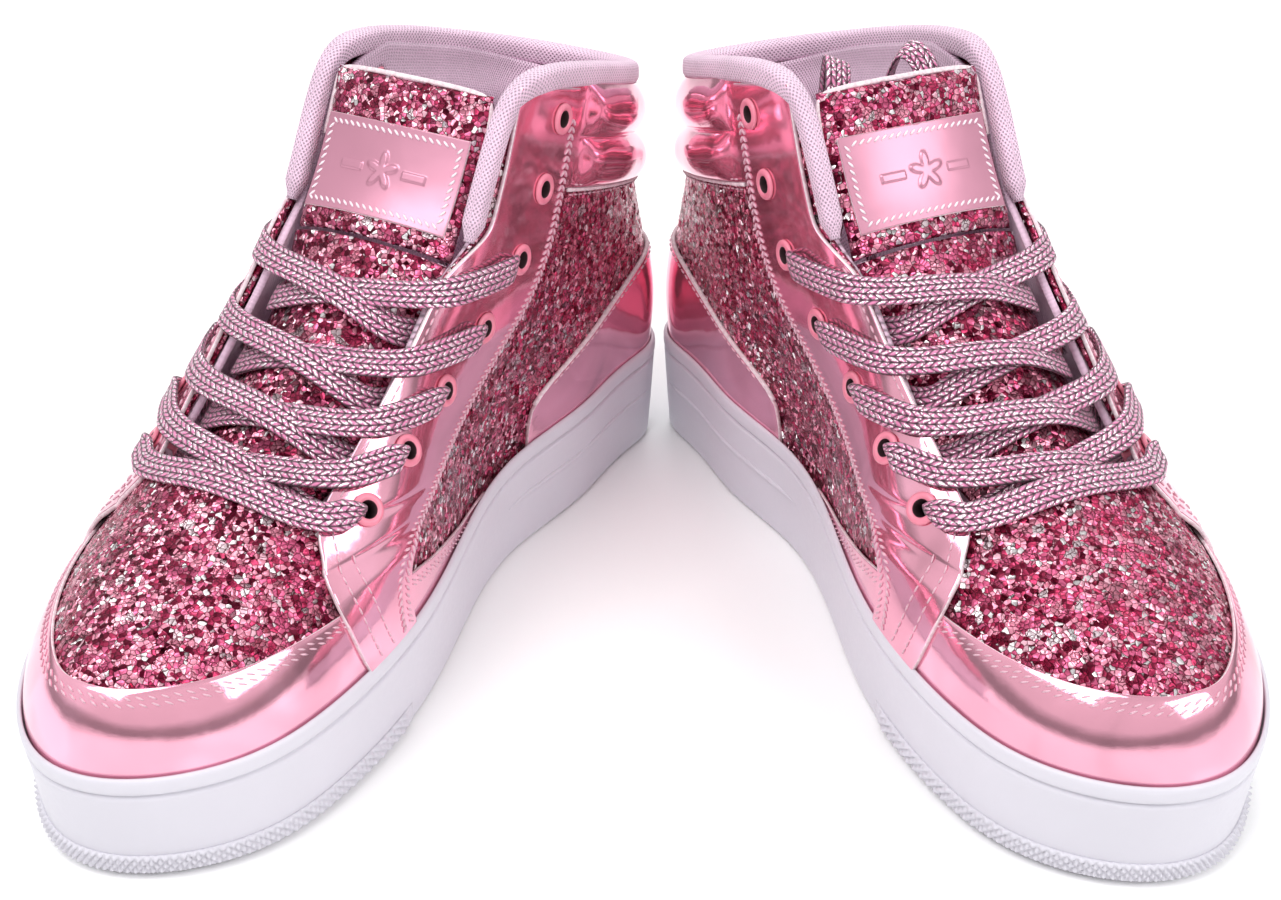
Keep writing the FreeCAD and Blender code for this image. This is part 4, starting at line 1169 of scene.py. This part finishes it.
def finish_hidden_nodes():
    """Board, foam and stiffeners inside the shoe keep their shapes and get finishes."""
    wanted = {"foam_core": "hidden_foam", "insole_board": "hidden_board", "heel_counter": "hidden_board",
              "toe_puff": "hidden_board"}
    for shoe in STANCE:
        for node, finish_name in wanted.items():
            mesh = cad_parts["%s_%s" % (shoe, node)].data
            mesh.materials.clear()
            mesh.materials.append(finish(finish_name))


# ---- stage ---------------------------------------------------------------------
def soft_light(name, energy, size, place, target=(0.0, 0.0, 0.05), shape="SQUARE", tall=None):
    data = bpy.data.lights.new(name, "AREA")
    data.energy = energy
    data.shape = "RECTANGLE" if tall else shape
    data.size = size
    if tall:
        data.size_y = tall
    lamp = bpy.data.objects.new(name, data)
    lamp.location = place
    lamp.rotation_euler = (Vector(target) - Vector(place)).to_track_quat("-Z", "Y").to_euler()
    bpy.context.scene.collection.objects.link(lamp)
    return lamp


def make_stage():
    scene = bpy.context.scene
    bm = bmesh.new()
    bmesh.ops.create_grid(bm, x_segments=1, y_segments=1, size=4.0)
    mesh = bpy.data.meshes.new("floor")
    bm.to_mesh(mesh)
    bm.free()
    paper = Finish("floor_paper")
    mesh.materials.append(paper.shade(Base_Color=(0.95, 0.95, 0.95, 1.0), Roughness=0.9))
    floor = bpy.data.objects.new("floor", mesh)
    floor.location = (0.0, 0.0, -0.0004)
    scene.collection.objects.link(floor)
    lights = [soft_light("key_light", 10.0, 0.9, (-0.5, -0.45, 1.3)),
              soft_light("fill_light", 5.0, 0.7, (0.9, -0.6, 0.9)),
              soft_light("rim_light", 5.0, 0.5, (0.1, 1.1, 0.9), tall=0.9)]
    world = bpy.data.worlds.new("studio")
    world.use_nodes = True
    tree = world.node_tree
    place = tree.nodes.new("ShaderNodeTexCoord")
    apart = tree.nodes.new("ShaderNodeSeparateXYZ")
    tree.links.new(place.outputs["Generated"], apart.inputs[0])
    ramp = tree.nodes.new("ShaderNodeValToRGB")
    tree.links.new(apart.outputs["Z"], ramp.inputs["Fac"])
    stops = [(0.0, 0.9), (0.05, 0.30), (0.16, 0.36), (0.32, 1.0), (0.75, 1.1), (1.0, 0.9)]
    while len(ramp.color_ramp.elements) < len(stops):
        ramp.color_ramp.elements.new(0.5)
    for element, (position, level) in zip(ramp.color_ramp.elements, stops):
        element.position = position
        element.color = (level, level, level, 1.0)
    tree.links.new(ramp.outputs["Color"], tree.nodes["Background"].inputs["Color"])
    tree.nodes["Background"].inputs["Strength"].default_value = 0.85
    scene.world = world
    lens = bpy.data.cameras.new("camera")
    lens.sensor_width = 36.0
    lens.lens = 53.63
    lens.clip_start = 0.01
    camera = bpy.data.objects.new("camera", lens)
    elevation = math.radians(32.25)
    target = Vector((-0.0008, 0.02302, 0.03509))
    camera.location = target + Vector((0.0, -math.cos(elevation), math.sin(elevation))) * 0.60702
    camera.rotation_euler = (math.pi / 2.0 - elevation, 0.0, 0.0)
    scene.collection.objects.link(camera)
    scene.camera = camera
    scene.view_settings.view_transform = "Standard"


# ---- add-on --------------------------------------------------------------------
class CHEER_OT_stage(bpy.types.Operator):
    """Lay the floor and set the lights and the camera"""
    bl_idname = "cheer.stage"
    bl_label = "Build Stage"

    def execute(self, context):
        make_stage()
        return {"FINISHED"}


class CHEER_OT_laces(bpy.types.Operator):
    """Run the braided laces through the eyelets and drop their tails into the shoes"""
    bl_idname = "cheer.laces"
    bl_label = "Build Laces"

    def execute(self, context):
        make_laces()
        return {"FINISHED"}


class CHEER_OT_soles(bpy.types.Operator):
    """Build the platform soles with their tread, toe grain and footbeds"""
    bl_idname = "cheer.soles"
    bl_label = "Build Soles"

    def execute(self, context):
        make_outsole()
        make_toe_strip()
        make_heel_rib()
        make_footbed()
        finish_hidden_nodes()
        return {"FINISHED"}


class CHEER_OT_uppers(bpy.types.Operator):
    """Build the glitter vamp and quarters with their linings"""
    bl_idname = "cheer.uppers"
    bl_label = "Build Uppers"

    def execute(self, context):
        make_vamp()
        make_quarters()
        make_lining()
        return {"FINISHED"}


class CHEER_OT_overlays(bpy.types.Operator):
    """Build the metallic overlays and the padded mesh roll"""
    bl_idname = "cheer.overlays"
    bl_label = "Build Overlays"

    def execute(self, context):
        make_overlays()
        make_collar_roll()
        return {"FINISHED"}


class CHEER_OT_tongues(bpy.types.Operator):
    """Build the tongues with their padded tops and labels"""
    bl_idname = "cheer.tongues"
    bl_label = "Build Tongues"

    def execute(self, context):
        make_tongue()
        make_label()
        return {"FINISHED"}


class CHEER_OT_trims(bpy.types.Operator):
    """Sew the stitch rows and set the pipings and the eyelets"""
    bl_idname = "cheer.trims"
    bl_label = "Build Trims"

    def execute(self, context):
        make_stitching()
        make_pipings()
        make_eyelets()
        return {"FINISHED"}


class CHEER_PT_panel(bpy.types.Panel):
    """Sizes, colours and build buttons of the cheer shoes"""
    bl_idname = "CHEER_PT_panel"
    bl_label = "Cheer Shoes"
    bl_space_type = "VIEW_3D"
    bl_region_type = "UI"
    bl_category = "Cheer Shoes"

    def draw(self, context):
        for settings in (context.scene.cheer_shoe_sizes, context.scene.cheer_shoe_colours):
            for name in settings.__annotations__:
                self.layout.prop(settings, name)
        for kind in BUILDERS:
            self.layout.operator(kind.bl_idname)


BUILDERS = (CHEER_OT_stage, CHEER_OT_laces, CHEER_OT_soles, CHEER_OT_uppers, CHEER_OT_overlays,
            CHEER_OT_tongues, CHEER_OT_trims)
CLASSES = (CheerShoeSizes, CheerShoeColours) + BUILDERS + (CHEER_PT_panel,)


def register():
    for kind in CLASSES:
        bpy.utils.register_class(kind)
    bpy.types.Scene.cheer_shoe_sizes = bpy.props.PointerProperty(type=CheerShoeSizes)
    bpy.types.Scene.cheer_shoe_colours = bpy.props.PointerProperty(type=CheerShoeColours)


def unregister():
    del bpy.types.Scene.cheer_shoe_colours
    del bpy.types.Scene.cheer_shoe_sizes
    for kind in reversed(CLASSES):
        bpy.utils.unregister_class(kind)


def main():
    register()
    bpy.ops.cheer.stage()
    bpy.ops.cheer.laces()
    bpy.ops.cheer.soles()
    bpy.ops.cheer.uppers()
    bpy.ops.cheer.overlays()
    bpy.ops.cheer.tongues()
    bpy.ops.cheer.trims()


if __name__ == "__main__":
    main()
